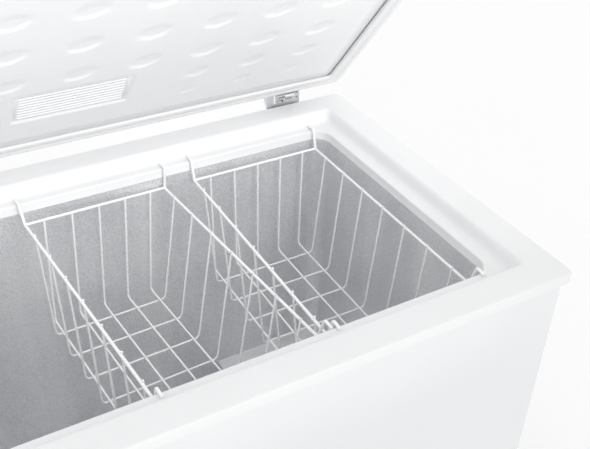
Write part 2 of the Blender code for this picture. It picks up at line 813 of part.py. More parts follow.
def build_drain():
    """The drain pipe through the front wall, with a plug inside and a cap outside."""
    start = FRONT_Y + SHELL_INSET - 0.001
    end = FRONT_Y + LINER_INSET + 0.002
    middle = (DRAIN_X, (start + end) / 2, DRAIN_Z)
    pipe = cylinder("drain_pipe", middle, (0, 1, 0), PIPE_R, end - start, white_plastic("drain_plastic"))
    cut(pipe, cylinder("pipe_bore", middle, (0, 1, 0), PIPE_R - 0.002, 0.2))
    smooth(pipe)
    for name, face, toward, length in (("drain_plug", end, 1.0, 0.004), ("drain_cap", start, -1.0, 0.003)):
        seat = face + toward * GAP
        centre = (DRAIN_X, seat + toward * length / 2, DRAIN_Z)
        pivot = (DRAIN_X, seat, DRAIN_Z)
        stopper = cylinder(name, centre, (0, 1, 0), 0.0125, length, white_plastic(name), 16, pivot)
        stem = (DRAIN_X, seat - toward * 0.006, DRAIN_Z)
        join(stopper, cylinder(name + "_stem", stem, (0, 1, 0), PIPE_R - 0.0024, 0.014))
        smooth(stopper)


# Lid


def open_lid(obj):
    """Turns a piece drawn closed about the hinge axis to the open angle, with its origin on the axis."""
    pivot = Vector((0.0, AXIS_Y, AXIS_Z))
    obj.data.transform(Matrix.Translation(obj.location - pivot))
    obj.location = pivot
    obj.rotation_euler = (-LID_OPEN, 0.0, 0.0)


def lid_loft(name, sections, closed, material=None):
    """A lid piece from (side inset, end inset, height, corner radius) sections, drawn closed."""
    piece = loft(name, [lid_loop(*section) for section in sections], closed, material)
    smooth(piece, 45.0)
    return piece


def build_lid_outer():
    wall = 0.0011
    sections = (
        (0.0068, 0.0068, LID_TOP - wall, 0.008),
        (wall, wall, LID_TOP - 0.0068, LID_CORNER),
        (wall, wall, LID_UNDER + 0.0005, LID_CORNER),
        (0.0, 0.0, LID_UNDER + 0.0005, LID_CORNER),
        (0.0, 0.0, LID_TOP - 0.0065, LID_CORNER),
        (0.0019, 0.0019, LID_TOP - 0.0019, 0.011),
        (0.0065, 0.0065, LID_TOP, 0.008),
    )
    open_lid(lid_loft("lid_outer", sections, False, painted_steel("lid_paint")))


def build_lid_foam():
    edge = 0.0014
    border = LID_UNDER + PANEL_T + GAP
    sections = (
        (PLATEAU_SIDE, PLATEAU_END, PLATEAU_Z + PLATEAU_T + GAP, 0.014),
        (PLATEAU_SIDE - 0.014, PLATEAU_END - 0.014, border, 0.010),
        (edge, edge, border, LID_CORNER - 0.001),
        (edge, edge, LID_TOP - 0.0070, LID_CORNER - 0.001),
        (0.0070, 0.0070, LID_TOP - 0.0014, 0.007),
    )
    open_lid(lid_loft("lid_foam", sections, False, foam("lid_foam")))


def dimple_places():
    """(x, y, size) of each dimple pressed into the inner panel, without those under the lamp."""
    places = []
    for distance, size in DIMPLE_ROWS:
        for column in range(-DIMPLE_COLUMNS, DIMPLE_COLUMNS + 1):
            x = column * DIMPLE_PITCH
            if distance > LAMP_FRONT or abs(x) > LAMP_HALF + 0.020:
                places.append((x, LID_REAR - distance, size))
    return places


def build_lid_inner_panel():
    """The white inner panel: a flat border for the gasket and a plateau with pressed dimples."""
    edge = 0.0014
    sections = (
        (PLATEAU_SIDE, PLATEAU_END, PLATEAU_Z + PLATEAU_T, 0.014),
        (PLATEAU_SIDE - 0.014, PLATEAU_END - 0.014, LID_UNDER + PANEL_T, 0.010),
        (edge, edge, LID_UNDER + PANEL_T, LID_CORNER - 0.001),
        (edge, edge, LID_UNDER, LID_CORNER - 0.001),
        (PLATEAU_SIDE - 0.015, PLATEAU_END - 0.015, LID_UNDER, 0.012),
        (PLATEAU_SIDE - 0.012, PLATEAU_END - 0.012, LID_UNDER - 0.0012, 0.014),
        (PLATEAU_SIDE - 0.003, PLATEAU_END - 0.003, PLATEAU_Z + 0.0012, 0.018),
        (PLATEAU_SIDE, PLATEAU_END, PLATEAU_Z, 0.020),
    )
    panel = lid_loft("lid_inner_panel", sections, False, white_plastic("panel_styrene"))
    bm = bmesh.new()
    for x, y, size in dimple_places():
        stretch = Matrix.Diagonal((*(Vector(DIMPLE_SIZE) * size), 1.0))
        place = Matrix.Translation((x, y, PLATEAU_Z)) @ Matrix.Rotation(DIMPLE_TILT, 4, "Z")
        bmesh.ops.create_uvsphere(bm, u_segments=10, v_segments=4, radius=1.0, matrix=place @ stretch)
    dimples = new_object("dimples", bm)
    cut(panel, dimples)
    open_lid(panel)
    open_lid(dimples)


def build_lid_gasket():
    """The magnetic gasket round the lid."""
    top = LID_UNDER - GAP
    bottom = RIM_Z + GAP
    sections = (
        (0.0120, 0.0120, top, 0.010),
        (0.0120, 0.0120, top - 0.0025, 0.010),
        (0.0080, 0.0080, top - 0.0035, 0.012),
        (0.0085, 0.0085, bottom + 0.0010, 0.012),
        (0.0100, 0.0100, bottom, 0.011),
        (0.0340, 0.0340, bottom, 0.008),
        (0.0355, 0.0355, bottom + 0.0010, 0.008),
        (0.0360, 0.0360, top - 0.0035, 0.008),
        (0.0310, 0.0310, top - 0.0025, 0.008),
        (0.0310, 0.0310, top, 0.008),
    )
    open_lid(lid_loft("lid_gasket", sections, True, vinyl("gasket_vinyl")))


def build_lamp():
    """The lid lamp: a louvred cover with a lit board inside."""
    top = PLATEAU_Z - GAP
    bottom = top - LAMP_T
    low = (-LAMP_HALF, LID_REAR - LAMP_FRONT, bottom)
    high = (LAMP_HALF, LID_REAR - LAMP_BACK, top)
    cover = rounded_box("lamp_cover", low, high, 0.014, white_plastic("lamp_plastic"), 3)
    hollow_low = (-LAMP_HALF + 0.0115, low[1] + 0.010, bottom + 0.002)
    hollow = box("lamp_hollow", hollow_low, (LAMP_HALF - 0.0115, high[1] - 0.010, top + 0.01))
    cut(cover, hollow)
    bm = bmesh.new()
    for row in range(6):
        y = LID_REAR - 0.142 - row * 0.0110
        add_box(bm, (-0.0755, y - 0.0027, bottom - 0.01), (0.0755, y + 0.0027, bottom + 0.004))
    slots = new_object("lamp_slots", bm)
    cut(cover, slots)
    middle = (low[1] + high[1]) / 2
    board_high = (0.070, middle + 0.018, top - 0.0012)
    board = box("lamp_board", (-0.070, middle - 0.018, top - 0.003), board_high, white_plastic("lamp_board"))
    for piece in (cover, hollow, slots, board):
        open_lid(piece)


def build_lid_handle():
    """The moulded grip on the lid's front edge."""
    face = LID_FRONT - GAP
    outline = (
        (face, RIM_Z + 0.050),
        (face - 0.006, RIM_Z + 0.049),
        (face - 0.017, RIM_Z + 0.040),
        (face - 0.024, RIM_Z + 0.026),
        (face - 0.025, RIM_Z + 0.014),
        (face - 0.021, RIM_Z + 0.013),
        (face - 0.018, RIM_Z + 0.025),
        (face - 0.011, RIM_Z + 0.034),
        (face - 0.003, RIM_Z + 0.037),
        (face - 0.003, RIM_Z + 0.012),
        (face, RIM_Z + 0.012),
    )
    handle = side_plate("lid_handle", outline, -HANDLE_HALF, HANDLE_HALF, white_plastic("handle_plastic"))
    smooth(handle, 30.0)
    open_lid(handle)


# Hinges


def ear_outline(edge_y, low_z, high_z, start, sweep, steps=8):
    """An ear from a straight plate edge to a round boss about the hinge axis."""
    points = [(edge_y, low_z), (edge_y, high_z)]
    for step in range(steps + 1):
        angle = math.radians(start + sweep * step / steps)
        points.append((AXIS_Y + BOSS_R * math.cos(angle), AXIS_Z + BOSS_R * math.sin(angle)))
    return points


def pin_bore(name, x):
    return cylinder(name, (x, AXIS_Y, AXIS_Z), (1, 0, 0), BORE_R, 0.2, None, PIN_SIDES)


def build_cabinet_bracket(side, outer_x, inward):
    """The plate behind the collar, stepped in to the rear sheet below it, with an ear at each end."""
    foot = REAR_SHEET_Y + GAP
    step = RIM_Z - 0.022
    low = RIM_Z - 0.100
    outline = (
        (foot, low),
        (foot, step),
        (HINGE_PLATE_Y, step + 0.006),
        (HINGE_PLATE_Y, HINGE_PLATE_TOP),
        (HINGE_PLATE_Y + HINGE_T, HINGE_PLATE_TOP),
        (HINGE_PLATE_Y + HINGE_T, step + 0.004),
        (foot + HINGE_T, step - 0.002),
        (foot + HINGE_T, low),
    )
    inner_x = outer_x + inward * HINGE_WIDTH
    material = bare_steel("hinge_zinc_" + side)
    bracket = side_plate("hinge_bracket_" + side, outline, outer_x, inner_x, material)
    ear = ear_outline(HINGE_PLATE_Y + HINGE_T / 2, RIM_Z - 0.012, HINGE_PLATE_TOP - 0.0006, 60.0, -180.0)
    for place, start in (("outer", outer_x), ("inner", inner_x - inward * EAR_T)):
        join(bracket, side_plate(f"bracket_ear_{side}_{place}", ear, start, start + inward * EAR_T))
    cut(bracket, pin_bore("bracket_bore_" + side, outer_x))
    slot_low = (outer_x + inward * 0.010, HINGE_PLATE_Y - 0.003, RIM_Z + 0.0120)
    slot_high = (outer_x + inward * 0.042, HINGE_PLATE_Y + 0.004, RIM_Z + 0.0160)
    cut(bracket, box("bracket_slot_" + side, slot_low, slot_high))


def build_lid_bracket(side, outer_x, inward):
    """The plate on the lid's rear face, with two ears inside the cabinet bracket's."""
    plate_y = LID_REAR + GAP
    start = outer_x + inward * EAR_INSET
    end = outer_x + inward * (HINGE_WIDTH - EAR_INSET)
    low = (min(start, end), plate_y, RIM_Z + 0.0312)
    high = (max(start, end), plate_y + 0.0020, RIM_Z + 0.0520)
    bracket = box("lid_bracket_" + side, low, high, bare_steel("lid_zinc_" + side))
    outline = ear_outline(plate_y + 0.0010, RIM_Z + 0.0316, RIM_Z + 0.0500, 100.0, -200.0)
    bore = pin_bore("lid_bore_" + side, outer_x)
    turning = [bracket, bore]
    for place, x in (("outer", start), ("inner", end - inward * EAR_T)):
        ear = side_plate(f"lid_ear_{side}_{place}", outline, x, x + inward * EAR_T)
        join(bracket, ear)
        turning.append(ear)
    cut(bracket, bore)
    for piece in turning:
        open_lid(piece)


def build_hinge_pin(side, outer_x, inward):
    middle = (outer_x + inward * HINGE_WIDTH / 2, AXIS_Y, AXIS_Z)
    length = HINGE_WIDTH + 0.006
    material = bare_steel("pin_steel_" + side)
    smooth(cylinder("hinge_pin_" + side, middle, (1, 0, 0), PIN_R, length, material, PIN_SIDES, middle))


def build_hinge_spring(side, outer_x, inward):
    """The coil round the pin that helps to lift the lid."""
    path = []
    for i in range(SPRING_TURNS * SPRING_STEPS + 1):
        angle = 2.0 * math.pi * i / SPRING_STEPS
        x = outer_x + inward * (0.012 + SPRING_LENGTH * i / (SPRING_TURNS * SPRING_STEPS))
        path.append((x, AXIS_Y + SPRING_R * math.cos(angle), AXIS_Z + SPRING_R * math.sin(angle)))
    spring = tube("hinge_spring_" + side, path, 0.0011, bare_steel("spring_steel_" + side))
    smooth(spring, 65.0)


def build_hinge_screws(side, outer_x, inward):
    """Two screws through the foot of the cabinet bracket."""
    face = REAR_SHEET_Y + GAP + HINGE_T + GAP
    x = outer_x + inward * HINGE_WIDTH / 2
    for index, drop in enumerate((0.045, 0.080), 1):
        name = f"hinge_screw_{side}_{index}"
        centre = (x, face + 0.0012, RIM_Z - drop)
        screw = cylinder(name, centre, (0, 1, 0), 0.0045, 0.0024, bare_steel(name), 12)
        slot_low = (x - 0.003, centre[1], centre[2] - 0.0005)
        cut(screw, box(name + "_slot", slot_low, (x + 0.003, centre[1] + 0.003, centre[2] + 0.0005)))


def build_hinges():
    for side, outer_x, inward in (("right", RIGHT_X - HINGE_OUTER, -1), ("left", -RIGHT_X + HINGE_OUTER, 1)):
        build_cabinet_bracket(side, outer_x, inward)
        build_lid_bracket(side, outer_x, inward)
        build_hinge_pin(side, outer_x, inward)
        build_hinge_spring(side, outer_x, inward)
        build_hinge_screws(side, outer_x, inward)


# Baskets


def basket_point(across, along, height):
    """A place in the basket, from its right rear rim corner: to the left, to the front, and up."""
    return Vector((-across, -along, height))


def hook_points(reach, rise):
    """Along and up from a rim corner to a hook's tip and to its highest bend."""
    return (reach, rise), (reach - HOOK_LANDING, rise + 0.0018)


def hanger_path(across, rear_hook, front_hook):
    """One side wire: rear hook, side rim, front hook."""
    rear_tip, rear_bend = hook_points(*rear_hook)
    front_tip, front_bend = hook_points(*front_hook)
    corners = (
        (-rear_tip[0], rear_tip[1]),
        (-rear_bend[0], rear_bend[1]),
        (0.0, 0.0),
        (BASKET_DEPTH, 0.0),
        (BASKET_DEPTH + front_bend[0], front_bend[1]),
        (BASKET_DEPTH + front_tip[0], front_tip[1]),
    )
    return rounded_path([basket_point(across, *corner) for corner in corners], 0.004)


def rim_path(along):
    """One end of the rim, from side wire to side wire."""
    return [basket_point(-0.0006, along, 0.0004), basket_point(BASKET_WIDTH + 0.0006, along, 0.0004)]


def across_path(along):
    """A wire bent to a U across the basket, its tips standing just above the side rims."""
    corners = (
        (0.0012, 0.0045),
        (BASKET_LEAN, -BASKET_HEIGHT),
        (BASKET_WIDTH - BASKET_LEAN, -BASKET_HEIGHT),
        (BASKET_WIDTH - 0.0012, 0.0045),
    )
    return rounded_path([basket_point(across, along, height) for across, height in corners], 0.009)


def along_path(rim_across, floor_across):
    """A wire bent to a U from the rear rim to the front rim, lying on the wires across."""
    floor = -BASKET_HEIGHT + 2 * GRID_WIRE - 0.0006
    corners = (
        basket_point(rim_across, 0.0012, 0.0010),
        basket_point(floor_across, 0.0050, floor),
        basket_point(floor_across, BASKET_DEPTH - 0.0050, floor),
        basket_point(rim_across, BASKET_DEPTH - 0.0012, 0.0010),
    )
    return rounded_path(corners, 0.009)


def build_basket(name, corner, turn, hooks):
    """A coated wire basket hung by its four hooks.

    The corner is its right rear rim corner, the turn its yaw and its tilt to the right, and
    the hooks are (reach, rise) pairs: right rear, right front, left rear, left front.
    """
    yaw, tilt = turn
    place = Matrix.Translation(corner) @ Matrix.Rotation(yaw, 4, "Z") @ Matrix.Rotation(tilt, 4, "Y")
    lengthwise = [(hanger_path(0.0, *hooks[:2]), RIM_WIRE)]
    lengthwise.append((hanger_path(BASKET_WIDTH, *hooks[2:]), RIM_WIRE))
    for k in range(GRID_COUNT_ACROSS):
        lengthwise.append((along_path(0.0264 + k * 0.0439, 0.0301 + k * 0.0426), GRID_WIRE))
    crosswise = [(rim_path(0.0), RIM_WIRE), (rim_path(BASKET_DEPTH), RIM_WIRE)]
    for k in range(GRID_COUNT_ALONG):
        crosswise.append((across_path(0.0365 + k * 0.0579), GRID_WIRE))
    basket = wires(name, lengthwise, place, coated_wire(name), corner)
    join(basket, wires(name + "_cross_wires", crosswise, place))
    smooth(basket, 50.0)


def build_baskets():
    """The right basket hangs square. The left one hangs askew, with one front hook off the ledge."""
    square = (RIGHT_X - 0.0966, FRONT_Y + 0.5127, RIM_Z - 0.0498)
    build_basket("basket_right", square, (0.0, 0.0), (FREE_HOOK,) * 4)
    askew = (RIGHT_X - 0.3765, FRONT_Y + 0.5200, RIM_Z - 0.0540)
    hooks = ((0.0160, 0.0366), FREE_HOOK, (0.0379, 0.0229), (0.0158, 0.0229))
    build_basket("basket_left", askew, (0.095, 0.060), hooks)


def main():
    build_outer_cabinet()
    build_rear_panel()
    build_bay_cover()
    build_base_plate()
    build_bay_housing()
    build_top_frame()
    build_inner_liner()
    build_coils()
    build_cabinet_foam()
    build_side_grille()
    build_feet()
    build_compressor()
    build_compressor_mounts()
    build_compressor_tray()
    build_starter_cover()
    build_filter_drier()
    build_machine_tubes()
    build_cord_gland()
    build_control_panel()
    build_knob()
    build_thermostat()
    build_lenses()
    build_drain()
    build_lid_outer()
    build_lid_foam()
    build_lid_inner_panel()
    build_lid_gasket()
    build_lamp()
    build_lid_handle()
    build_hinges()
    build_baskets()


main()
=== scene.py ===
"""A chest freezer with its lid open.

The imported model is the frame. Finer pieces replace the visible nodes, and every surface has a
procedural material. All lengths are in metres.
"""

import json
import math

import bmesh
import bpy
from mathutils import Matrix, Vector


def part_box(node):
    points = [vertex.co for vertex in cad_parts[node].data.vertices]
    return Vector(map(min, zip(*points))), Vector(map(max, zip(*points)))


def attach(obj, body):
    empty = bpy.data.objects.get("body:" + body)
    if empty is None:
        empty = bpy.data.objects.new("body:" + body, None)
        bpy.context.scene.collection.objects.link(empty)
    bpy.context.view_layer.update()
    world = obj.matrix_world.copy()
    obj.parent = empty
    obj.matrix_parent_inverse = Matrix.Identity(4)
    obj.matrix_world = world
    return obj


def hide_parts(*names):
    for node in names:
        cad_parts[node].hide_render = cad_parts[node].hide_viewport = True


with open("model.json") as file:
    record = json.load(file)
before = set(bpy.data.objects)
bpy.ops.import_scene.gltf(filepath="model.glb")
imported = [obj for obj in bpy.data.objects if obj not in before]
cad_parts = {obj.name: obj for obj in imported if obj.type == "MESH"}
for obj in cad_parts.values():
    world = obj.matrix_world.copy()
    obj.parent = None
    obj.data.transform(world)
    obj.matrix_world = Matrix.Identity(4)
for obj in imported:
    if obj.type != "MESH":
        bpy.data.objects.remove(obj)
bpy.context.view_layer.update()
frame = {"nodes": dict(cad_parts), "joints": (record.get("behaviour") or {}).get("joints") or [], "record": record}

# The collar's box sets every other place.
COLLAR_LOW, COLLAR_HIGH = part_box("top_frame")
LEFT_X = COLLAR_LOW.x
RIGHT_X = COLLAR_HIGH.x
FRONT_Y = COLLAR_LOW.y
REAR_Y = COLLAR_HIGH.y
RIM_Z = COLLAR_HIGH.z

# Collar sections
SKIRT = 0.016
BAND = 0.0465
LEDGE_DROP = 0.020
COLLAR_T = 0.0025
WALL_INSET = 0.0756
WALL_T = 0.0015
WALL_FOOT = 0.036
MOUTH_CORNER = 0.0282

# Liner: the step over the machine bay is measured from the collar's right end and the floor
LINER_T = 0.0012
LINER_STEP_WIDTH = 0.290
LINER_STEP_TOP = 0.307
LINER_CORNER = 0.030
LINER_BEND = 0.0032

# Lid, measured closed
HINGE = next(joint for joint in frame["joints"] if joint["name"] == "lid_hinge")
AXIS = Vector(HINGE["pos_m"])
LID_OPEN = math.radians(51.2)
LID_FRONT = FRONT_Y - 0.0037
LID_REAR = FRONT_Y + 0.6023
LID_UNDER = RIM_Z + 0.0085
LID_TOP = RIM_Z + 0.0535
LID_CORNER = 0.012
SKIN_T = 0.0011

# Lid panel: a raised field with rows of pressed dimples.
# A row is its distance from the hinge side and its size.
PLATEAU_DROP = 0.009
PLATEAU_SLOPE = 0.036
PLATEAU_START = 0.038
PLATEAU_CORNER = 0.014
PANEL_EDGE = 0.0014
PANEL_GRID = 0.0024
PANEL_T = 0.0012
DIMPLE_ROWS = (
    (0.121, 0.60),
    (0.178, 0.85),
    (0.243, 1.0),
    (0.319, 1.0),
    (0.395, 1.0),
    (0.462, 0.85),
    (0.513, 0.60),
)
DIMPLE_PITCH = 0.0920
DIMPLE_COLUMNS = 4
DIMPLE_SIZE = Vector((0.0290, 0.0185, 0.0019))
DIMPLE_WALL = 0.24
DIMPLE_TILT = math.radians(-16.0)

# Lamp: distances from the hinge side, and a window given as half its width, its front and its back
LAMP_HALF = 0.0880
LAMP_BACK = 0.125
LAMP_FRONT = 0.209
LAMP_T = 0.0030
LAMP_CORNER = 0.008
LAMP_SUNK = 0.0006
LAMP_POCKET = 0.0032
POCKET_BACK_RAMP = 0.0045
POCKET_FRONT_RAMP = 0.012
POCKET_SIDE_RAMP = 0.009
LAMP_WELL = 0.0018
WELL_RAMP = 0.004
DIMPLE_FREE_SIDE = 0.030
DIMPLE_FREE_FRONT = 0.010
LAMP_WINDOW = (0.0760, 0.2020, 0.1370)
LAMP_BLADES = 8
LAMP_RISER = 0.0009
LAMP_RIBS = 3
LAMP_RIB_START = 0.0024
LAMP_RIB_PITCH = 0.0026
LAMP_RIB_HALF = 0.0006
LAMP_RIB_END = 0.006

# Hinge brackets
BRACKET_FACE = REAR_Y + 0.0031
BRACKET_T = 0.0018
# Dark strips behind the bracket's windows are painted shade for its recesses: their thickness and how far they
# reach past a window.
SHADE_STRIP_T = 0.0016
SHADE_STRIP_MARGIN = 0.0012
# Openings in the bracket's face: from and to, across from the inner end and up from the rim
BRACKET_SLOTS = (
    (0.0136, 0.0166, 0.0035, 0.0215),
    (0.0530, 0.0572, 0.0095, 0.0130),
)
BRACKET_WINDOWS = (
    (0.0185, 0.0580, 0.0182, 0.0200),
    (0.0200, 0.0370, 0.0118, 0.0130),
    (0.0195, 0.0318, 0.0072, 0.0092),
    (0.0305, 0.0325, 0.0040, 0.0085),
    (0.0370, 0.0500, 0.0080, 0.0102),
    (0.0588, 0.0618, 0.0165, 0.0205),
    (0.0588, 0.0618, 0.0070, 0.0105),
)

# Baskets
BASKET_WIDTH = 0.2304
BASKET_DEPTH = 0.4204
BASKET_HEIGHT = 0.1944
BASKET_LEAN = 0.019
RIM_WIRE = 0.0023
GRID_WIRE = 0.0017
HOOK_LANDING = 0.0157
HOOK_BEND = 0.004
WIRE_BEND = 0.009
# Places of the wires: how many, the first one and the pitch
CROSS_WIRES = (7, 0.0365, 0.0579)
LENGTH_WIRES = 5
LENGTH_AT_RIM = (0.0264, 0.0439)
LENGTH_AT_FLOOR = (0.0301, 0.0426)
# How far each hook reaches out and rises, for the basket hanging square and the one hanging askew
FREE_HOOK = (0.0255, 0.0325)
ASKEW_HOOKS = ((0.0160, 0.0366), FREE_HOOK, (0.0379, 0.0229), (0.0158, 0.0229))
ASKEW_TURN = (0.095, 0.060)

# Stage
FLOOR_SIZE = 12.0
FLOOR_DROP = 0.0005
LIGHT_HEIGHT = 0.3
# Name, place, aim, width, spread in degrees and power in watts
LIGHTS = (
    ("lid_light", (0.25, -1.30, 0.95), (0.00, 0.05, 1.10), 0.9, 44.0, 0.45),
    ("rear_light", (0.10, -0.95, 1.60), (0.00, 0.30, 0.80), 1.3, 36.0, 0.85),
)
LENS_MM = 51.07
SENSOR_MM = 36.0
SHIFT = (0.0057, -0.0198)
CAMERA_PLACE = (-0.2613, -0.8877, 1.4764)
CAMERA_TURN = (55.7032, -1.4619, -29.3470)

# Welding distances and the angle over which a carried-over node's edge stays sharp
WELD = 1e-6
COARSE_WELD = 1e-5
SHARP_ANGLE = 35.0


# Materials


class Finish:
    """A Principled material under construction, with textures placed in metres on the object."""

    def __init__(self, name, roughness, metallic=0.0):
        self.material = bpy.data.materials.new(name)
        self.material.use_nodes = True
        self.tree = self.material.node_tree
        self.shader = self.tree.nodes["Principled BSDF"]
        self.shader.inputs["Roughness"].default_value = roughness
        self.shader.inputs["Metallic"].default_value = metallic
        self.place = self.tree.nodes.new("ShaderNodeTexCoord").outputs["Object"]
        self.normal = None

    def link(self, source, target):
        self.tree.links.new(source, target)

    def set(self, **values):
        for name, value in values.items():
            self.shader.inputs[name.replace("_", " ")].default_value = value
        return self

    def stretched(self, scale):
        mapping = self.tree.nodes.new("ShaderNodeMapping")
        mapping.inputs["Scale"].default_value = scale
        self.link(self.place, mapping.inputs["Vector"])
        return mapping.outputs["Vector"]

    def noise(self, scale, detail=2.0, stretch=None):
        node = self.tree.nodes.new("ShaderNodeTexNoise")
        node.inputs["Scale"].default_value = scale
        node.inputs["Detail"].default_value = detail
        self.link(self.stretched(stretch) if stretch else self.place, node.inputs["Vector"])
        return node.outputs["Fac"]

    def cells(self, scale, feature="F1", output="Distance"):
        node = self.tree.nodes.new("ShaderNodeTexVoronoi")
        node.feature = feature
        node.inputs["Scale"].default_value = scale
        self.link(self.place, node.inputs["Vector"])
        return node.outputs[output]

    def ramp(self, source, stops):
        node = self.tree.nodes.new("ShaderNodeValToRGB")
        elements = node.color_ramp.elements
        while len(elements) < len(stops):
            elements.new(0.5)
        for element, (position, colour) in zip(elements, stops):
            element.position = position
            element.color = (*colour, 1.0)
        self.link(source, node.inputs["Fac"])
        return node.outputs["Color"]

    def spread(self, source, low, high, start=0.3, end=0.7):
        node = self.tree.nodes.new("ShaderNodeMapRange")
        node.inputs["From Min"].default_value = start
        node.inputs["From Max"].default_value = end
        node.inputs["To Min"].default_value = low
        node.inputs["To Max"].default_value = high
        self.link(source, node.inputs["Value"])
        return node.outputs["Result"]

    def blend_values(self, first, second, share):
        node = self.tree.nodes.new("ShaderNodeMix")
        node.data_type = "FLOAT"
        node.inputs["Factor"].default_value = share
        self.link(first, node.inputs["A"])
        self.link(second, node.inputs["B"])
        return node.outputs["Result"]

    def colour(self, source, stops):
        self.link(self.ramp(source, stops), self.shader.inputs["Base Color"])
        return self

    def rough(self, source, low, high):
        self.link(self.spread(source, low, high), self.shader.inputs["Roughness"])
        return self

    def bump(self, source, depth, strength=1.0):
        node = self.tree.nodes.new("ShaderNodeBump")
        node.inputs["Distance"].default_value = depth
        node.inputs["Strength"].default_value = strength
        self.link(source, node.inputs["Height"])
        if self.normal:
            self.link(self.normal, node.inputs["Normal"])
        self.normal = node.outputs["Normal"]
        self.link(self.normal, self.shader.inputs["Normal"])
        return self


def shades(colour, low, high):
    """Two ramp stops: the colour darkened and lightened by these factors."""
    return ((0.3, tuple(c * low for c in colour)), (0.7, tuple(c * high for c in colour)))


def painted_steel():
    """White stove paint: a slow waviness and a slight unevenness of tone and gloss."""
    made = Finish("painted_steel", 0.3)
    made.colour(made.noise(6.0, 4.0), shades((0.83, 0.84, 0.85), 0.985, 1.012))
    made.rough(made.noise(5.0, 2.0), 0.29, 0.33)
    made.bump(made.noise(45.0, 2.0), 0.00003)
    return made.set(Coat_Weight=0.25, Coat_Roughness=0.12).material


def moulded_white(name, tone=0.84, grain=0.00005, roughness=0.42):
    """White moulded plastic with a fine spark-eroded grain."""
    made = Finish(name, roughness)
    made.colour(made.noise(9.0, 4.0), shades((tone, tone * 1.005, tone * 1.01), 0.985, 1.01))
    made.rough(made.noise(120.0, 3.0), roughness - 0.05, roughness + 0.06)
    made.bump(made.noise(1500.0, 2.0), grain)
    return made.material


def panel_white():
    """Vacuum-formed polystyrene: half gloss, with slow changes of tone and a faint grain."""
    made = Finish("panel_styrene", 0.36)
    made.colour(made.noise(4.0, 2.0), shades((0.85, 0.855, 0.86), 0.992, 1.006))
    made.rough(made.noise(24.0, 2.0), 0.32, 0.40)
    made.bump(made.noise(700.0, 1.0), 0.000008)
    return made.material


def stucco_aluminium():
    """Rolled aluminium with a stucco emboss: cloudy, with faint upright bands and a fine speckle of painted glints
    and shade.
    """
    made = Finish("stucco_aluminium", 0.36, 0.60)
    bands = made.spread(made.noise(11.0, 3.0, (1.0, 1.0, 0.05)), 0.0, 1.0, 0.36, 0.64)
    clouds = made.spread(made.noise(8.0, 4.0), 0.0, 1.0, 0.40, 0.68)
    # The fine speckle in the colour is painted glints and shade of light on the stucco emboss, not a tone of the
    # metal.
    glint_speckle = made.spread(made.noise(430.0, 2.0), 0.0, 1.0, 0.38, 0.62)
    tone = made.blend_values(made.blend_values(bands, clouds, 0.35), glint_speckle, 0.45)
    made.colour(tone, ((0.15, (0.77, 0.78, 0.80)), (0.85, (0.99, 0.99, 0.995))))
    made.rough(made.noise(300.0, 2.0), 0.28, 0.46)
    made.bump(made.cells(230.0, "SMOOTH_F1"), 0.0009, 0.9)
    made.bump(made.noise(620.0, 2.0), 0.0005, 0.7)
    return made.material


def zinc():
    """Galvanised sheet: spangle, rolling marks and slow changes of gloss."""
    made = Finish("zinc_steel", 0.36, 1.0)
    spangle = made.cells(110.0, output="Color")
    made.colour(spangle, ((0.2, (0.65, 0.66, 0.675)), (0.8, (0.72, 0.73, 0.745))))
    made.rough(made.noise(9.0, 3.0), 0.33, 0.42)
    made.bump(made.noise(250.0, 3.0, (1.0, 1.0, 6.0)), 0.00008)
    return made.material


def coated_wire():
    """White epoxy coating over wire: thick, glossy, slightly lumpy."""
    made = Finish("coated_wire", 0.28)
    made.colour(made.noise(60.0, 3.0), shades((0.96, 0.962, 0.965), 0.985, 1.01))
    made.rough(made.noise(200.0, 2.0), 0.22, 0.34)
    made.bump(made.noise(500.0, 2.0), 0.00008)
    return made.set(Coat_Weight=0.3, Coat_Roughness=0.1).material


def vinyl():
    """Soft magnetic gasket: matt, with a faint grain."""
    made = Finish("gasket_vinyl", 0.55)
    made.colour(made.noise(14.0, 4.0), shades((0.82, 0.825, 0.83), 0.975, 1.01))
    made.rough(made.noise(160.0, 3.0), 0.48, 0.62)
    made.bump(made.noise(700.0, 2.0), 0.00006)
    return made.set(Sheen_Weight=0.15, Sheen_Roughness=0.4).material


def foam():
    made = Finish("urethane_foam", 0.9)
    made.colour(made.noise(30.0, 5.0), shades((0.83, 0.75, 0.50), 0.86, 1.08))
    made.bump(made.cells(380.0), 0.0006)
    return made.material


def copper():
    made = Finish("copper_tube", 0.3, 1.0)
    made.colour(made.noise(50.0, 5.0), ((0.3, (0.55, 0.27, 0.16)), (0.7, (0.78, 0.45, 0.30))))
    made.rough(made.noise(180.0, 3.0), 0.22, 0.42)
    made.bump(made.noise(900.0, 2.0), 0.00005)
    return made.material


def dark_plastic(name, colour, roughness):
    made = Finish(name, roughness)
    made.colour(made.noise(25.0, 4.0), shades(colour, 0.85, 1.15))
    made.rough(made.noise(200.0, 3.0), roughness - 0.08, roughness + 0.08)
    made.bump(made.noise(1300.0, 2.0), 0.00006)
    return made.material


def clear_lens(name, colour):
    made = Finish(name, 0.15)
    made.colour(made.noise(80.0, 2.0), shades(colour, 0.85, 1.1))
    made.bump(made.cells(700.0), 0.0001)
    return made.set(Transmission_Weight=0.35, IOR=1.49).material


def pale_floor():
    made = Finish("studio_floor", 0.9)
    made.colour(made.noise(3.0, 2.0), shades((0.985, 0.985, 0.985), 0.998, 1.002))
    return made.material


# Shape builders


def mesh_object(name, bm, material, body, angle=40.0):
    """A smooth-shaded piece that rides on a body."""
    bmesh.ops.recalc_face_normals(bm, faces=bm.faces)
    mesh = bpy.data.meshes.new(name)
    bm.to_mesh(mesh)
    bm.free()
    mesh.shade_smooth()
    mesh.set_sharp_from_angle(angle=math.radians(angle))
    mesh.materials.append(material)
    obj = bpy.data.objects.new(name, mesh)
    bpy.context.scene.collection.objects.link(obj)
    if body:
        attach(obj, body)
    return obj


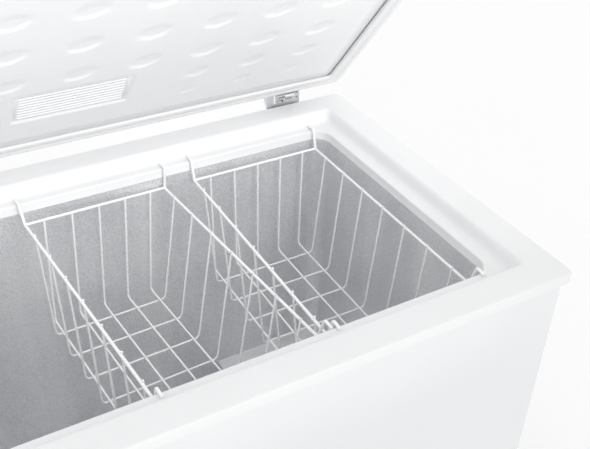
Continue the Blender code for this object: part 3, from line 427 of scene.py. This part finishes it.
def apply_modifiers(obj):
    bpy.context.view_layer.update()
    graph = bpy.context.evaluated_depsgraph_get()
    made = bpy.data.meshes.new_from_object(obj.evaluated_get(graph))
    obj.modifiers.clear()
    obj.data = made


def cut_away(obj, cutter_mesh):
    """Takes the boxes in the second mesh out of the object."""
    cutter = mesh_object(obj.name + "_cutter", cutter_mesh, obj.data.materials[0], None)
    difference = obj.modifiers.new("cut", "BOOLEAN")
    difference.operation = "DIFFERENCE"
    difference.solver = "EXACT"
    difference.use_self = True
    difference.object = cutter
    apply_modifiers(obj)
    bpy.data.objects.remove(cutter, do_unlink=True)


def merge_into(bm, other):
    scratch = bpy.data.meshes.new("scratch")
    other.to_mesh(scratch)
    other.free()
    bm.from_mesh(scratch)
    bpy.data.meshes.remove(scratch)


def rounded_rectangle(low, high, z, radius, steps=8):
    corners = (
        (high[0] - radius, high[1] - radius, 0.0),
        (low[0] + radius, high[1] - radius, 90.0),
        (low[0] + radius, low[1] + radius, 180.0),
        (high[0] - radius, low[1] + radius, 270.0),
    )
    points = []
    for x, y, start in corners:
        for step in range(steps + 1):
            angle = math.radians(start + 90.0 * step / steps)
            points.append(Vector((x + radius * math.cos(angle), y + radius * math.sin(angle), z)))
    return points


def loft(loops, closed):
    bm = bmesh.new()
    rings = [[bm.verts.new(point) for point in loop] for loop in loops]
    pairs = list(zip(rings, rings[1:]))
    if closed:
        pairs.append((rings[-1], rings[0]))
    for lower, upper in pairs:
        for i in range(len(lower)):
            j = (i + 1) % len(lower)
            bm.faces.new((lower[i], lower[j], upper[j], upper[i]))
    if not closed:
        bm.faces.new(rings[0])
        bm.faces.new(rings[-1])
    return bm


def opened(bm):
    """Turns a lid piece drawn closed about the hinge axis to its open angle."""
    turn = Matrix.Rotation(-LID_OPEN, 4, "X")
    bm.transform(Matrix.Translation(AXIS) @ turn @ Matrix.Translation(-AXIS))
    return bm


def add_box(bm, low, high):
    low = Vector(low)
    high = Vector(high)
    matrix = Matrix.Translation((low + high) / 2) @ Matrix.Diagonal((*(high - low), 1.0))
    return bmesh.ops.create_cube(bm, size=1.0, matrix=matrix)["verts"]


def soft_box(bm, low, high, radius, segments):
    """A box with every edge rounded."""
    verts = add_box(bm, low, high)
    edges = {edge for vert in verts for edge in vert.link_edges}
    bmesh.ops.bevel(
        bm, geom=list(edges), offset=radius, segments=segments, profile=0.5, affect="EDGES"
    )


# Cabinet


def collar_loop(inset, drop, radius):
    low = (LEFT_X + inset, FRONT_Y + inset)
    high = (RIGHT_X - inset, REAR_Y - inset)
    return rounded_rectangle(low, high, RIM_Z - drop, radius)


def build_collar(material):
    under = LEDGE_DROP + COLLAR_T
    sections = [
        (0.0, SKIRT, 0.010),
        (0.0, 0.0030, 0.010),
        (0.00025, 0.0018, 0.010),
        (0.0009, 0.0009, 0.010),
        (0.0018, 0.00025, 0.009),
        (0.0030, 0.0, 0.009),
        (BAND - 0.0050, 0.0, 0.009),
        (BAND - 0.0025, 0.00015, 0.009),
        (BAND - 0.0005, 0.0007, 0.009),
        (BAND + 0.0015, 0.0019, 0.010),
        (BAND + 0.0035, 0.0042, 0.010),
        (BAND + 0.0055, 0.0080, 0.011),
        (BAND + 0.0075, 0.0124, 0.012),
        (BAND + 0.0095, 0.0158, 0.013),
        (BAND + 0.0115, 0.0180, 0.014),
        (BAND + 0.0140, 0.0193, 0.015),
        (BAND + 0.0170, 0.0198, 0.017),
        (BAND + 0.0200, LEDGE_DROP, 0.020),
        (WALL_INSET - 0.0032, LEDGE_DROP, MOUTH_CORNER + 0.0032),
        (WALL_INSET - 0.0016, LEDGE_DROP + 0.0003, MOUTH_CORNER + 0.0016),
        (WALL_INSET - 0.0005, LEDGE_DROP + 0.0011, MOUTH_CORNER + 0.0005),
        (WALL_INSET, LEDGE_DROP + 0.0025, MOUTH_CORNER),
        (WALL_INSET, WALL_FOOT - 0.0022, MOUTH_CORNER),
        (WALL_INSET + 0.0004, WALL_FOOT - 0.0016, MOUTH_CORNER - 0.0004),
        (WALL_INSET + 0.0005, WALL_FOOT - 0.0008, MOUTH_CORNER - 0.0005),
        (WALL_INSET + 0.0002, WALL_FOOT, MOUTH_CORNER),
        (WALL_INSET - WALL_T, WALL_FOOT, MOUTH_CORNER + WALL_T),
        (WALL_INSET - WALL_T, under, MOUTH_CORNER + WALL_T),
        (BAND + 0.011, under, 0.014),
        (BAND + 0.004, LEDGE_DROP - 0.0005, 0.011),
        (BAND - 0.001, COLLAR_T, 0.009),
        (0.0077, COLLAR_T, 0.005),
        (0.0077, SKIRT, 0.005),
    ]
    bm = loft([collar_loop(*section) for section in sections], True)
    collar = mesh_object("collar", bm, material, "cabinet", 50.0)
    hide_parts("top_frame")


def build_liner(material):
    """The stepped aluminium tub, with folded and rounded bends."""
    low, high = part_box("inner_liner")
    low = low + Vector((LINER_T, LINER_T, LINER_T))
    high = high - Vector((LINER_T, LINER_T, 0.0))
    step_x = RIGHT_X - LINER_STEP_WIDTH
    bm = bmesh.new()
    add_box(bm, low, high)
    upright = [e for e in bm.edges if abs(e.verts[0].co.z - e.verts[1].co.z) > 0.1]
    bmesh.ops.bevel(
        bm, geom=upright, offset=LINER_CORNER, segments=12, profile=0.5, affect="EDGES"
    )
    tub = mesh_object("liner", bm, material, None)
    bm = bmesh.new()
    add_box(bm, (step_x, FRONT_Y - 0.1, 0.0), (RIGHT_X + 0.1, REAR_Y + 0.1, LINER_STEP_TOP))
    cut_away(tub, bm)
    bm = bmesh.new()
    bm.from_mesh(tub.data)
    bmesh.ops.remove_doubles(bm, verts=bm.verts, dist=COARSE_WELD)
    top = [
        f
        for f in bm.faces
        if f.calc_center_median().z > high.z - 1e-4 and abs(f.normal.z) > 0.9
    ]
    bmesh.ops.delete(bm, geom=top, context="FACES")
    bm.to_mesh(tub.data)
    bm.free()
    bevel = tub.modifiers.new("bends", "BEVEL")
    bevel.width = LINER_BEND
    bevel.segments = 3
    bevel.limit_method = "ANGLE"
    bevel.angle_limit = math.radians(50.0)
    shell = tub.modifiers.new("sheet", "SOLIDIFY")
    shell.thickness = LINER_T
    shell.offset = 1.0
    apply_modifiers(tub)
    tub.data.shade_smooth()
    tub.data.set_sharp_from_angle(angle=math.radians(40.0))
    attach(tub, "cabinet")
    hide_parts("inner_liner")


# Lid


def lid_loop(inset, z, radius, steps=8):
    low = (LEFT_X + inset, LID_FRONT + inset)
    high = (RIGHT_X - inset, LID_REAR - inset)
    return rounded_rectangle(low, high, z, radius, steps)


def build_lid_skin(material):
    sections = [
        (0.0068, LID_TOP - SKIN_T, 0.008),
        (SKIN_T, LID_TOP - 0.0068, LID_CORNER),
        (SKIN_T, LID_UNDER + 0.0005, LID_CORNER),
        (0.0, LID_UNDER + 0.0005, LID_CORNER),
        (0.0, LID_TOP - 0.0065, LID_CORNER),
        (0.0004, LID_TOP - 0.0042, LID_CORNER),
        (0.0013, LID_TOP - 0.0023, 0.0115),
        (0.0026, LID_TOP - 0.0010, 0.011),
        (0.0044, LID_TOP - 0.0002, 0.0095),
        (0.0065, LID_TOP, 0.008),
    ]
    bm = opened(loft([lid_loop(*section) for section in sections], False))
    skin = mesh_object("lid_skin", bm, material, "lid", 50.0)
    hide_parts("lid_outer")


def smoothstep(value):
    value = min(max(value, 0.0), 1.0)
    return value * value * (3.0 - 2.0 * value)


def inside_distance(x, y, inset, radius):
    """How far a lid point lies inside a rounded rectangle, negative outside it."""
    half_x = (RIGHT_X - LEFT_X) / 2 - inset
    middle = (LID_FRONT + LID_REAR) / 2
    half_y = (LID_REAR - LID_FRONT) / 2 - inset
    dx = abs(x) - (half_x - radius)
    dy = abs(y - middle) - (half_y - radius)
    outside = math.hypot(max(dx, 0.0), max(dy, 0.0))
    return radius - outside - min(max(dx, dy), 0.0)


def dimple_near(x, y):
    """The centre and size of the dimple nearest to this place, or None beside the lamp."""
    distance, size = min(DIMPLE_ROWS, key=lambda row: abs(LID_REAR - row[0] - y))
    column = min(max(round(x / DIMPLE_PITCH), -DIMPLE_COLUMNS), DIMPLE_COLUMNS)
    centre = column * DIMPLE_PITCH
    if distance < LAMP_FRONT + DIMPLE_FREE_FRONT and abs(centre) < LAMP_HALF + DIMPLE_FREE_SIDE:
        return None
    return centre, LID_REAR - distance, size


def dimple_depth(x, y):
    """How deep the panel is pressed in here: steep towards the hinge, fading towards the front."""
    found = dimple_near(x, y)
    if not found:
        return 0.0
    centre_x, centre_y, size = found
    cos, sin = math.cos(DIMPLE_TILT), math.sin(DIMPLE_TILT)
    dx, dy = x - centre_x, y - centre_y
    along = (dx * cos + dy * sin) / (DIMPLE_SIZE.x * size)
    across = (-dx * sin + dy * cos) / (DIMPLE_SIZE.y * size)
    reach = math.hypot(along, across)
    gentle = 0.5 - 0.5 * across / reach if reach > 1e-6 else 0.5
    wall = DIMPLE_WALL + (1.0 - DIMPLE_WALL) * gentle
    return DIMPLE_SIZE.z * size * smoothstep((1.0 - reach) / wall)


def pocket_depth(x, y):
    """The shallow recess that holds the lamp cover, steepest on its hinge side."""
    back = (LID_REAR - LAMP_BACK - y) / POCKET_BACK_RAMP
    front = (y - (LID_REAR - LAMP_FRONT)) / POCKET_FRONT_RAMP
    side = (LAMP_HALF - abs(x)) / POCKET_SIDE_RAMP
    half, window_front, window_back = LAMP_WINDOW
    well = min(half - abs(x), LID_REAR - window_back - y, y - LID_REAR + window_front)
    pocket = LAMP_POCKET * smoothstep(back) * smoothstep(front) * smoothstep(side)
    return pocket + LAMP_WELL * smoothstep(well / WELL_RAMP)


def panel_height(x, y):
    """The underside of the closed lid's panel at this place."""
    step = inside_distance(x, y, PLATEAU_START, PLATEAU_CORNER)
    drop = PLATEAU_DROP * smoothstep(step / PLATEAU_SLOPE)
    return LID_UNDER - drop + dimple_depth(x, y) + pocket_depth(x, y)


def build_inner_panel(material):
    low_x, high_x = LEFT_X + PANEL_EDGE, RIGHT_X - PANEL_EDGE
    low_y, high_y = LID_FRONT + PANEL_EDGE, LID_REAR - PANEL_EDGE
    columns = round((high_x - low_x) / PANEL_GRID)
    rows = round((high_y - low_y) / PANEL_GRID)
    corner = LID_CORNER - 0.001
    bm = bmesh.new()
    grid = []
    for j in range(rows + 1):
        y = low_y + (high_y - low_y) * j / rows
        line = []
        for i in range(columns + 1):
            x = low_x + (high_x - low_x) * i / columns
            px, py = x, y
            cx = min(max(x, low_x + corner), high_x - corner)
            cy = min(max(y, low_y + corner), high_y - corner)
            away = math.hypot(x - cx, y - cy)
            if away > corner:
                px = cx + (x - cx) * corner / away
                py = cy + (y - cy) * corner / away
            line.append(bm.verts.new((px, py, panel_height(px, py))))
        grid.append(line)
    for lower, upper in zip(grid, grid[1:]):
        for i in range(columns):
            bm.faces.new((lower[i], upper[i], upper[i + 1], lower[i + 1]))
    bmesh.ops.dissolve_degenerate(bm, edges=bm.edges, dist=COARSE_WELD)
    panel = mesh_object("inner_panel", opened(bm), material, None, 60.0)
    shell = panel.modifiers.new("skin", "SOLIDIFY")
    shell.thickness = PANEL_T
    apply_modifiers(panel)
    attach(panel, "lid")
    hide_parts("lid_inner_panel")


def build_gasket(material):
    top = LID_UNDER - 0.0003
    bottom = RIM_Z + 0.0003
    sections = [
        (0.0120, top, 0.010),
        (0.0120, top - 0.0022, 0.010),
        (0.0092, top - 0.0028, 0.011),
        (0.0081, top - 0.0040, 0.012),
        (0.0080, bottom + 0.0022, 0.012),
        (0.0086, bottom + 0.0007, 0.012),
        (0.0100, bottom, 0.011),
        (0.0200, bottom, 0.0105),
        (0.0206, bottom + 0.0006, 0.0105),
        (0.0218, bottom + 0.0006, 0.010),
        (0.0224, bottom, 0.010),
        (0.0338, bottom, 0.008),
        (0.0353, bottom + 0.0007, 0.008),
        (0.0360, bottom + 0.0022, 0.008),
        (0.0358, top - 0.0040, 0.008),
        (0.0345, top - 0.0028, 0.008),
        (0.0310, top - 0.0022, 0.008),
        (0.0310, top, 0.008),
    ]
    loops = [lid_loop(*section, 6) for section in sections]
    gasket = mesh_object("gasket", opened(loft(loops, True)), material, "lid", 60.0)
    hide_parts("lid_gasket")


def build_lamp(material):
    """The louvred lamp cover, level with the panel: a plate with slanting slats and ribbed ends."""
    face = LID_UNDER - PLATEAU_DROP + LAMP_SUNK
    half, front, back = LAMP_WINDOW
    low = (-LAMP_HALF + 0.0040, LID_REAR - LAMP_FRONT + 0.0020)
    high = (LAMP_HALF - 0.0040, LID_REAR - LAMP_BACK - 0.0060)
    loops = []
    for inset, rise in ((0.0, LAMP_T), (0.0, 0.0010), (0.0004, 0.0003), (0.0012, 0.0)):
        near = (low[0] + inset, low[1] + inset)
        far = (high[0] - inset, high[1] - inset)
        loops.append(rounded_rectangle(near, far, face + rise, LAMP_CORNER, 6))
    plate = mesh_object("lamp_plate", loft(loops, False), material, None, 45.0)
    bm = bmesh.new()
    window_low = (-half, LID_REAR - front, face - 0.01)
    add_box(bm, window_low, (half, LID_REAR - back, face + LAMP_T + 0.01))
    cut_away(plate, bm)
    bm = bmesh.new()
    bm.from_mesh(plate.data)
    bpy.data.objects.remove(plate, do_unlink=True)
    pitch = (front - back) / LAMP_BLADES
    profile = [(LID_REAR - back, face + LAMP_T), (LID_REAR - front, face + LAMP_T)]
    for k in range(LAMP_BLADES):
        edge = LID_REAR - front + pitch * k
        profile += [(edge, face + 0.0010), (edge, face + 0.0006), (edge + 0.0003, face + 0.0002)]
        profile += [(edge + 0.0009, face + 0.0002), (edge + pitch - 0.0004, face + LAMP_RISER)]
    profile.append((LID_REAR - back, face + LAMP_RISER))
    blades = bmesh.new()
    outer = half + 0.0005
    ends = [[blades.verts.new((x, y, z)) for y, z in profile] for x in (-outer, outer)]
    for i in range(len(profile)):
        j = (i + 1) % len(profile)
        blades.faces.new((ends[0][i], ends[0][j], ends[1][j], ends[1][i]))
    for end in ends:
        blades.faces.new(end)
    merge_into(bm, blades)
    for side in (-1, 1):
        for k in range(LAMP_RIBS):
            x = side * (half + LAMP_RIB_START + LAMP_RIB_PITCH * k)
            low = (x - LAMP_RIB_HALF, LID_REAR - front + LAMP_RIB_END, face - 0.0004)
            high = (x + LAMP_RIB_HALF, LID_REAR - back - LAMP_RIB_END, face + 0.0010)
            soft_box(bm, low, high, 0.0003, 1)
    cover = mesh_object("lamp_louvre", opened(bm), material, "lid", 45.0)
    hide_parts("lamp_cover", "lamp_board")


# Hinge brackets


def build_bracket(side, material, dark):
    """The cabinet's hinge bracket with the openings in its face, and dark strips behind the windows that paint the
    shade inside them.
    """
    node = frame["nodes"]["hinge_bracket_" + side]
    low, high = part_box("hinge_bracket_" + side)
    bm = bmesh.new()
    bm.from_mesh(node.data)
    bm.transform(node.matrix_world)
    bmesh.ops.remove_doubles(bm, verts=bm.verts, dist=WELD)
    bracket = mesh_object("bracket_plate_" + side, bm, material, None, SHARP_ANGLE)
    openings = bmesh.new()
    shade_strips = bmesh.new()
    for opening in BRACKET_SLOTS + BRACKET_WINDOWS:
        start, end, bottom, top = opening
        xs = (low.x + start, low.x + end) if side == "right" else (high.x - end, high.x - start)
        add_box(
            openings,
            (xs[0], BRACKET_FACE - 0.001, RIM_Z + bottom),
            (xs[1], BRACKET_FACE + BRACKET_T + 0.001, RIM_Z + top),
        )
        # A dark strip behind each window is painted shade for the recess, not a part of the hinge.
        if opening in BRACKET_WINDOWS:
            back = BRACKET_FACE + BRACKET_T + 0.0002
            near = (xs[0] - SHADE_STRIP_MARGIN, back, RIM_Z + bottom - 0.0030)
            far = (xs[1] + SHADE_STRIP_MARGIN, back + SHADE_STRIP_T, RIM_Z + top + 0.0006)
            soft_box(shade_strips, near, far, 0.0003, 2)
    cut_away(bracket, openings)
    bracket.data.shade_smooth()
    bracket.data.set_sharp_from_angle(angle=math.radians(SHARP_ANGLE))
    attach(bracket, "cabinet")
    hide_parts("hinge_bracket_" + side)
    # The strips of painted shade ride on the cabinet with the bracket.
    shade_strips = mesh_object("bracket_shade_strips_" + side, shade_strips, dark, "cabinet")


# Baskets


def basket_point(across, along, height):
    """A place in the basket, from its rim's rear right corner: leftwards, forwards and up."""
    return Vector((-across, -along, height))


def bend(corner, before, after, radius, steps=5):
    corner = Vector(corner)
    start = corner + (Vector(before) - corner).normalized() * radius
    end = corner + (Vector(after) - corner).normalized() * radius
    points = []
    for step in range(steps + 1):
        share = step / steps
        points.append(start.lerp(corner, share).lerp(corner.lerp(end, share), share))
    return points


def rounded_path(points, radius):
    made = [Vector(points[0])]
    for before, corner, after in zip(points, points[1:], points[2:]):
        made += bend(corner, before, after, radius)
    made.append(Vector(points[-1]))
    return made


def hook_points(reach, rise):
    return (reach, rise), (reach - HOOK_LANDING, rise + 0.0018)


def hanger_path(across, rear_hook, front_hook):
    rear_tip, rear_bend = hook_points(*rear_hook)
    front_tip, front_bend = hook_points(*front_hook)
    corners = (
        (-rear_tip[0], rear_tip[1]),
        (-rear_bend[0], rear_bend[1]),
        (0.0, 0.0),
        (BASKET_DEPTH, 0.0),
        (BASKET_DEPTH + front_bend[0], front_bend[1]),
        (BASKET_DEPTH + front_tip[0], front_tip[1]),
    )
    return rounded_path([basket_point(across, *corner) for corner in corners], HOOK_BEND)


def across_path(along):
    corners = (
        (0.0012, 0.0045),
        (BASKET_LEAN, -BASKET_HEIGHT),
        (BASKET_WIDTH - BASKET_LEAN, -BASKET_HEIGHT),
        (BASKET_WIDTH - 0.0012, 0.0045),
    )
    points = [basket_point(across, along, height) for across, height in corners]
    return rounded_path(points, WIRE_BEND)


def along_path(rim_across, floor_across):
    floor = -BASKET_HEIGHT + 2 * GRID_WIRE - 0.0006
    corners = (
        basket_point(rim_across, 0.0012, 0.0010),
        basket_point(floor_across, 0.0050, floor),
        basket_point(floor_across, BASKET_DEPTH - 0.0050, floor),
        basket_point(rim_across, BASKET_DEPTH - 0.0012, 0.0010),
    )
    return rounded_path(corners, WIRE_BEND)


def build_basket(name, body, node, corner, turn, hooks, material):
    yaw, tilt = turn
    place = Matrix.Translation(corner)
    place = place @ Matrix.Rotation(yaw, 4, "Z") @ Matrix.Rotation(tilt, 4, "Y")
    runs = [
        (hanger_path(0.0, *hooks[:2]), RIM_WIRE),
        (hanger_path(BASKET_WIDTH, *hooks[2:]), RIM_WIRE),
    ]
    for along in (0.0, BASKET_DEPTH):
        right = basket_point(-0.0006, along, 0.0004)
        left = basket_point(BASKET_WIDTH + 0.0006, along, 0.0004)
        runs.append(([right, left], RIM_WIRE))
    count, first, pitch = CROSS_WIRES
    for k in range(count):
        runs.append((across_path(first + k * pitch), GRID_WIRE))
    for k in range(LENGTH_WIRES):
        rim, floor = (start + k * step for start, step in (LENGTH_AT_RIM, LENGTH_AT_FLOOR))
        runs.append((along_path(rim, floor), GRID_WIRE))
    data = bpy.data.curves.new(name, "CURVE")
    data.dimensions = "3D"
    data.bevel_depth = 1.0
    data.bevel_resolution = 3
    data.use_fill_caps = True
    for path, radius in runs:
        spline = data.splines.new("POLY")
        spline.points.add(len(path) - 1)
        for target, point in zip(spline.points, path):
            target.co = (*(place @ point), 1.0)
            target.radius = radius
    curve = bpy.data.objects.new(name + "_curve", data)
    bpy.context.scene.collection.objects.link(curve)
    bpy.context.view_layer.update()
    graph = bpy.context.evaluated_depsgraph_get()
    mesh = bpy.data.meshes.new_from_object(curve.evaluated_get(graph))
    bpy.data.objects.remove(curve, do_unlink=True)
    bm = bmesh.new()
    bm.from_mesh(mesh)
    bmesh.ops.remove_doubles(bm, verts=bm.verts, dist=WELD)
    basket = mesh_object(name, bm, material, body, 60.0)
    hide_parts(node)


def build_baskets(material):
    square = Vector((RIGHT_X - 0.0966, FRONT_Y + 0.5127, RIM_Z - 0.0498))
    askew = Vector((RIGHT_X - 0.3765, FRONT_Y + 0.5200, RIM_Z - 0.0540))
    for side, corner, turn, hooks in (
        ("right", square, (0.0, 0.0), (FREE_HOOK,) * 4),
        ("left", askew, ASKEW_TURN, ASKEW_HOOKS),
    ):
        names = ("wire_basket_" + side, side + "_basket", "basket_" + side)
        build_basket(*names, corner, turn, hooks, material)


# Finishes on the nodes that stay


def smooth_group():
    """Welds a node's faceted mesh for display and smooths all but its sharp edges."""
    group = bpy.data.node_groups.new("smooth_by_angle", "GeometryNodeTree")
    group.interface.new_socket("Geometry", in_out="INPUT", socket_type="NodeSocketGeometry")
    group.interface.new_socket("Geometry", in_out="OUTPUT", socket_type="NodeSocketGeometry")
    nodes = group.nodes
    start = nodes.new("NodeGroupInput")
    end = nodes.new("NodeGroupOutput")
    merge = nodes.new("GeometryNodeMergeByDistance")
    merge.inputs["Distance"].default_value = COARSE_WELD
    faces = nodes.new("GeometryNodeSetShadeSmooth")
    edges = nodes.new("GeometryNodeSetShadeSmooth")
    edges.domain = "EDGE"
    edges.inputs["Shade Smooth"].default_value = False
    angle = nodes.new("GeometryNodeInputMeshEdgeAngle")
    compare = nodes.new("FunctionNodeCompare")
    compare.operation = "GREATER_THAN"
    compare.inputs["B"].default_value = math.radians(SHARP_ANGLE)
    group.links.new(start.outputs[0], merge.inputs["Geometry"])
    group.links.new(merge.outputs["Geometry"], faces.inputs["Geometry"])
    group.links.new(faces.outputs["Geometry"], edges.inputs["Geometry"])
    group.links.new(angle.outputs["Unsigned Angle"], compare.inputs["A"])
    group.links.new(compare.outputs["Result"], edges.inputs["Selection"])
    group.links.new(edges.outputs["Geometry"], end.inputs[0])
    return group


def finish_node(name, material, group):
    node = frame["nodes"][name]
    node.data.materials.clear()
    node.data.materials.append(material)
    for attribute in ("custom_normal", "sharp_face"):
        if attribute in node.data.attributes:
            node.data.attributes.remove(node.data.attributes[attribute])
    modifier = node.modifiers.new("smooth", "NODES")
    modifier.node_group = group


# Stage


def build_stage():
    bm = bmesh.new()
    bmesh.ops.create_grid(bm, x_segments=1, y_segments=1, size=FLOOR_SIZE)
    floor = mesh_object("studio_floor", bm, pale_floor(), None)
    floor.location.z = -FLOOR_DROP
    world = bpy.data.worlds.new("studio")
    bpy.context.scene.world = world
    world.use_nodes = True
    backdrop = world.node_tree.nodes["Background"]
    backdrop.inputs["Color"].default_value = (1.0, 1.0, 1.0, 1.0)
    backdrop.inputs["Strength"].default_value = 1.0
    for name, place, aim, width, spread, power in LIGHTS:
        light = bpy.data.lights.new(name, "AREA")
        light.shape = "RECTANGLE"
        light.size = width
        light.size_y = LIGHT_HEIGHT
        light.spread = math.radians(spread)
        light.energy = power
        lamp = bpy.data.objects.new(name, light)
        bpy.context.scene.collection.objects.link(lamp)
        lamp.location = place
        ahead = Vector(aim) - Vector(place)
        lamp.rotation_euler = ahead.to_track_quat("-Z", "Y").to_euler()


def build_camera():
    data = bpy.data.cameras.new("camera")
    data.sensor_width = SENSOR_MM
    data.lens = LENS_MM
    data.shift_x, data.shift_y = SHIFT
    camera = bpy.data.objects.new("camera", data)
    bpy.context.scene.collection.objects.link(camera)
    camera.location = CAMERA_PLACE
    camera.rotation_euler = tuple(math.radians(angle) for angle in CAMERA_TURN)
    bpy.context.scene.camera = camera


def main():
    bpy.context.scene.view_settings.view_transform = "Standard"
    build_stage()
    build_camera()
    paint = painted_steel()
    plastic = moulded_white("collar_plastic")
    trim = moulded_white("trim_plastic", 0.85, 0.00003, 0.36)
    steel = zinc()
    group = smooth_group()
    finishes = {
        "white_paint": paint,
        "white_plastic": trim,
        "zinc_steel": steel,
        "embossed_aluminium": stucco_aluminium(),
        "insulating_foam": foam(),
        "copper": copper(),
        "black_enamel": dark_plastic("black_enamel", (0.03, 0.03, 0.032), 0.3),
        "black_plastic": dark_plastic("black_plastic", (0.04, 0.04, 0.042), 0.5),
        "rubber": dark_plastic("rubber", (0.05, 0.05, 0.05), 0.8),
        "grey_plastic": dark_plastic("grey_plastic", (0.30, 0.31, 0.32), 0.5),
        "gasket_vinyl": vinyl(),
        "coated_wire": coated_wire(),
        "green_lens": clear_lens("green_lens", (0.05, 0.65, 0.15)),
        "red_lens": clear_lens("red_lens", (0.75, 0.05, 0.04)),
        "circuit_board": dark_plastic("circuit_board", (0.80, 0.80, 0.74), 0.6),
    }
    for part in frame["record"]["subparts"]:
        finish_node(part["node"], finishes[part["material_slot"]], group)
    build_collar(plastic)
    build_liner(finishes["embossed_aluminium"])
    build_lid_skin(paint)
    build_inner_panel(panel_white())
    build_gasket(finishes["gasket_vinyl"])
    build_lamp(trim)
    for side in ("right", "left"):
        # The grey finish colours the painted-shade strips behind the bracket windows.
        build_bracket(side, steel, finishes["grey_plastic"])
    build_baskets(finishes["coated_wire"])


main()
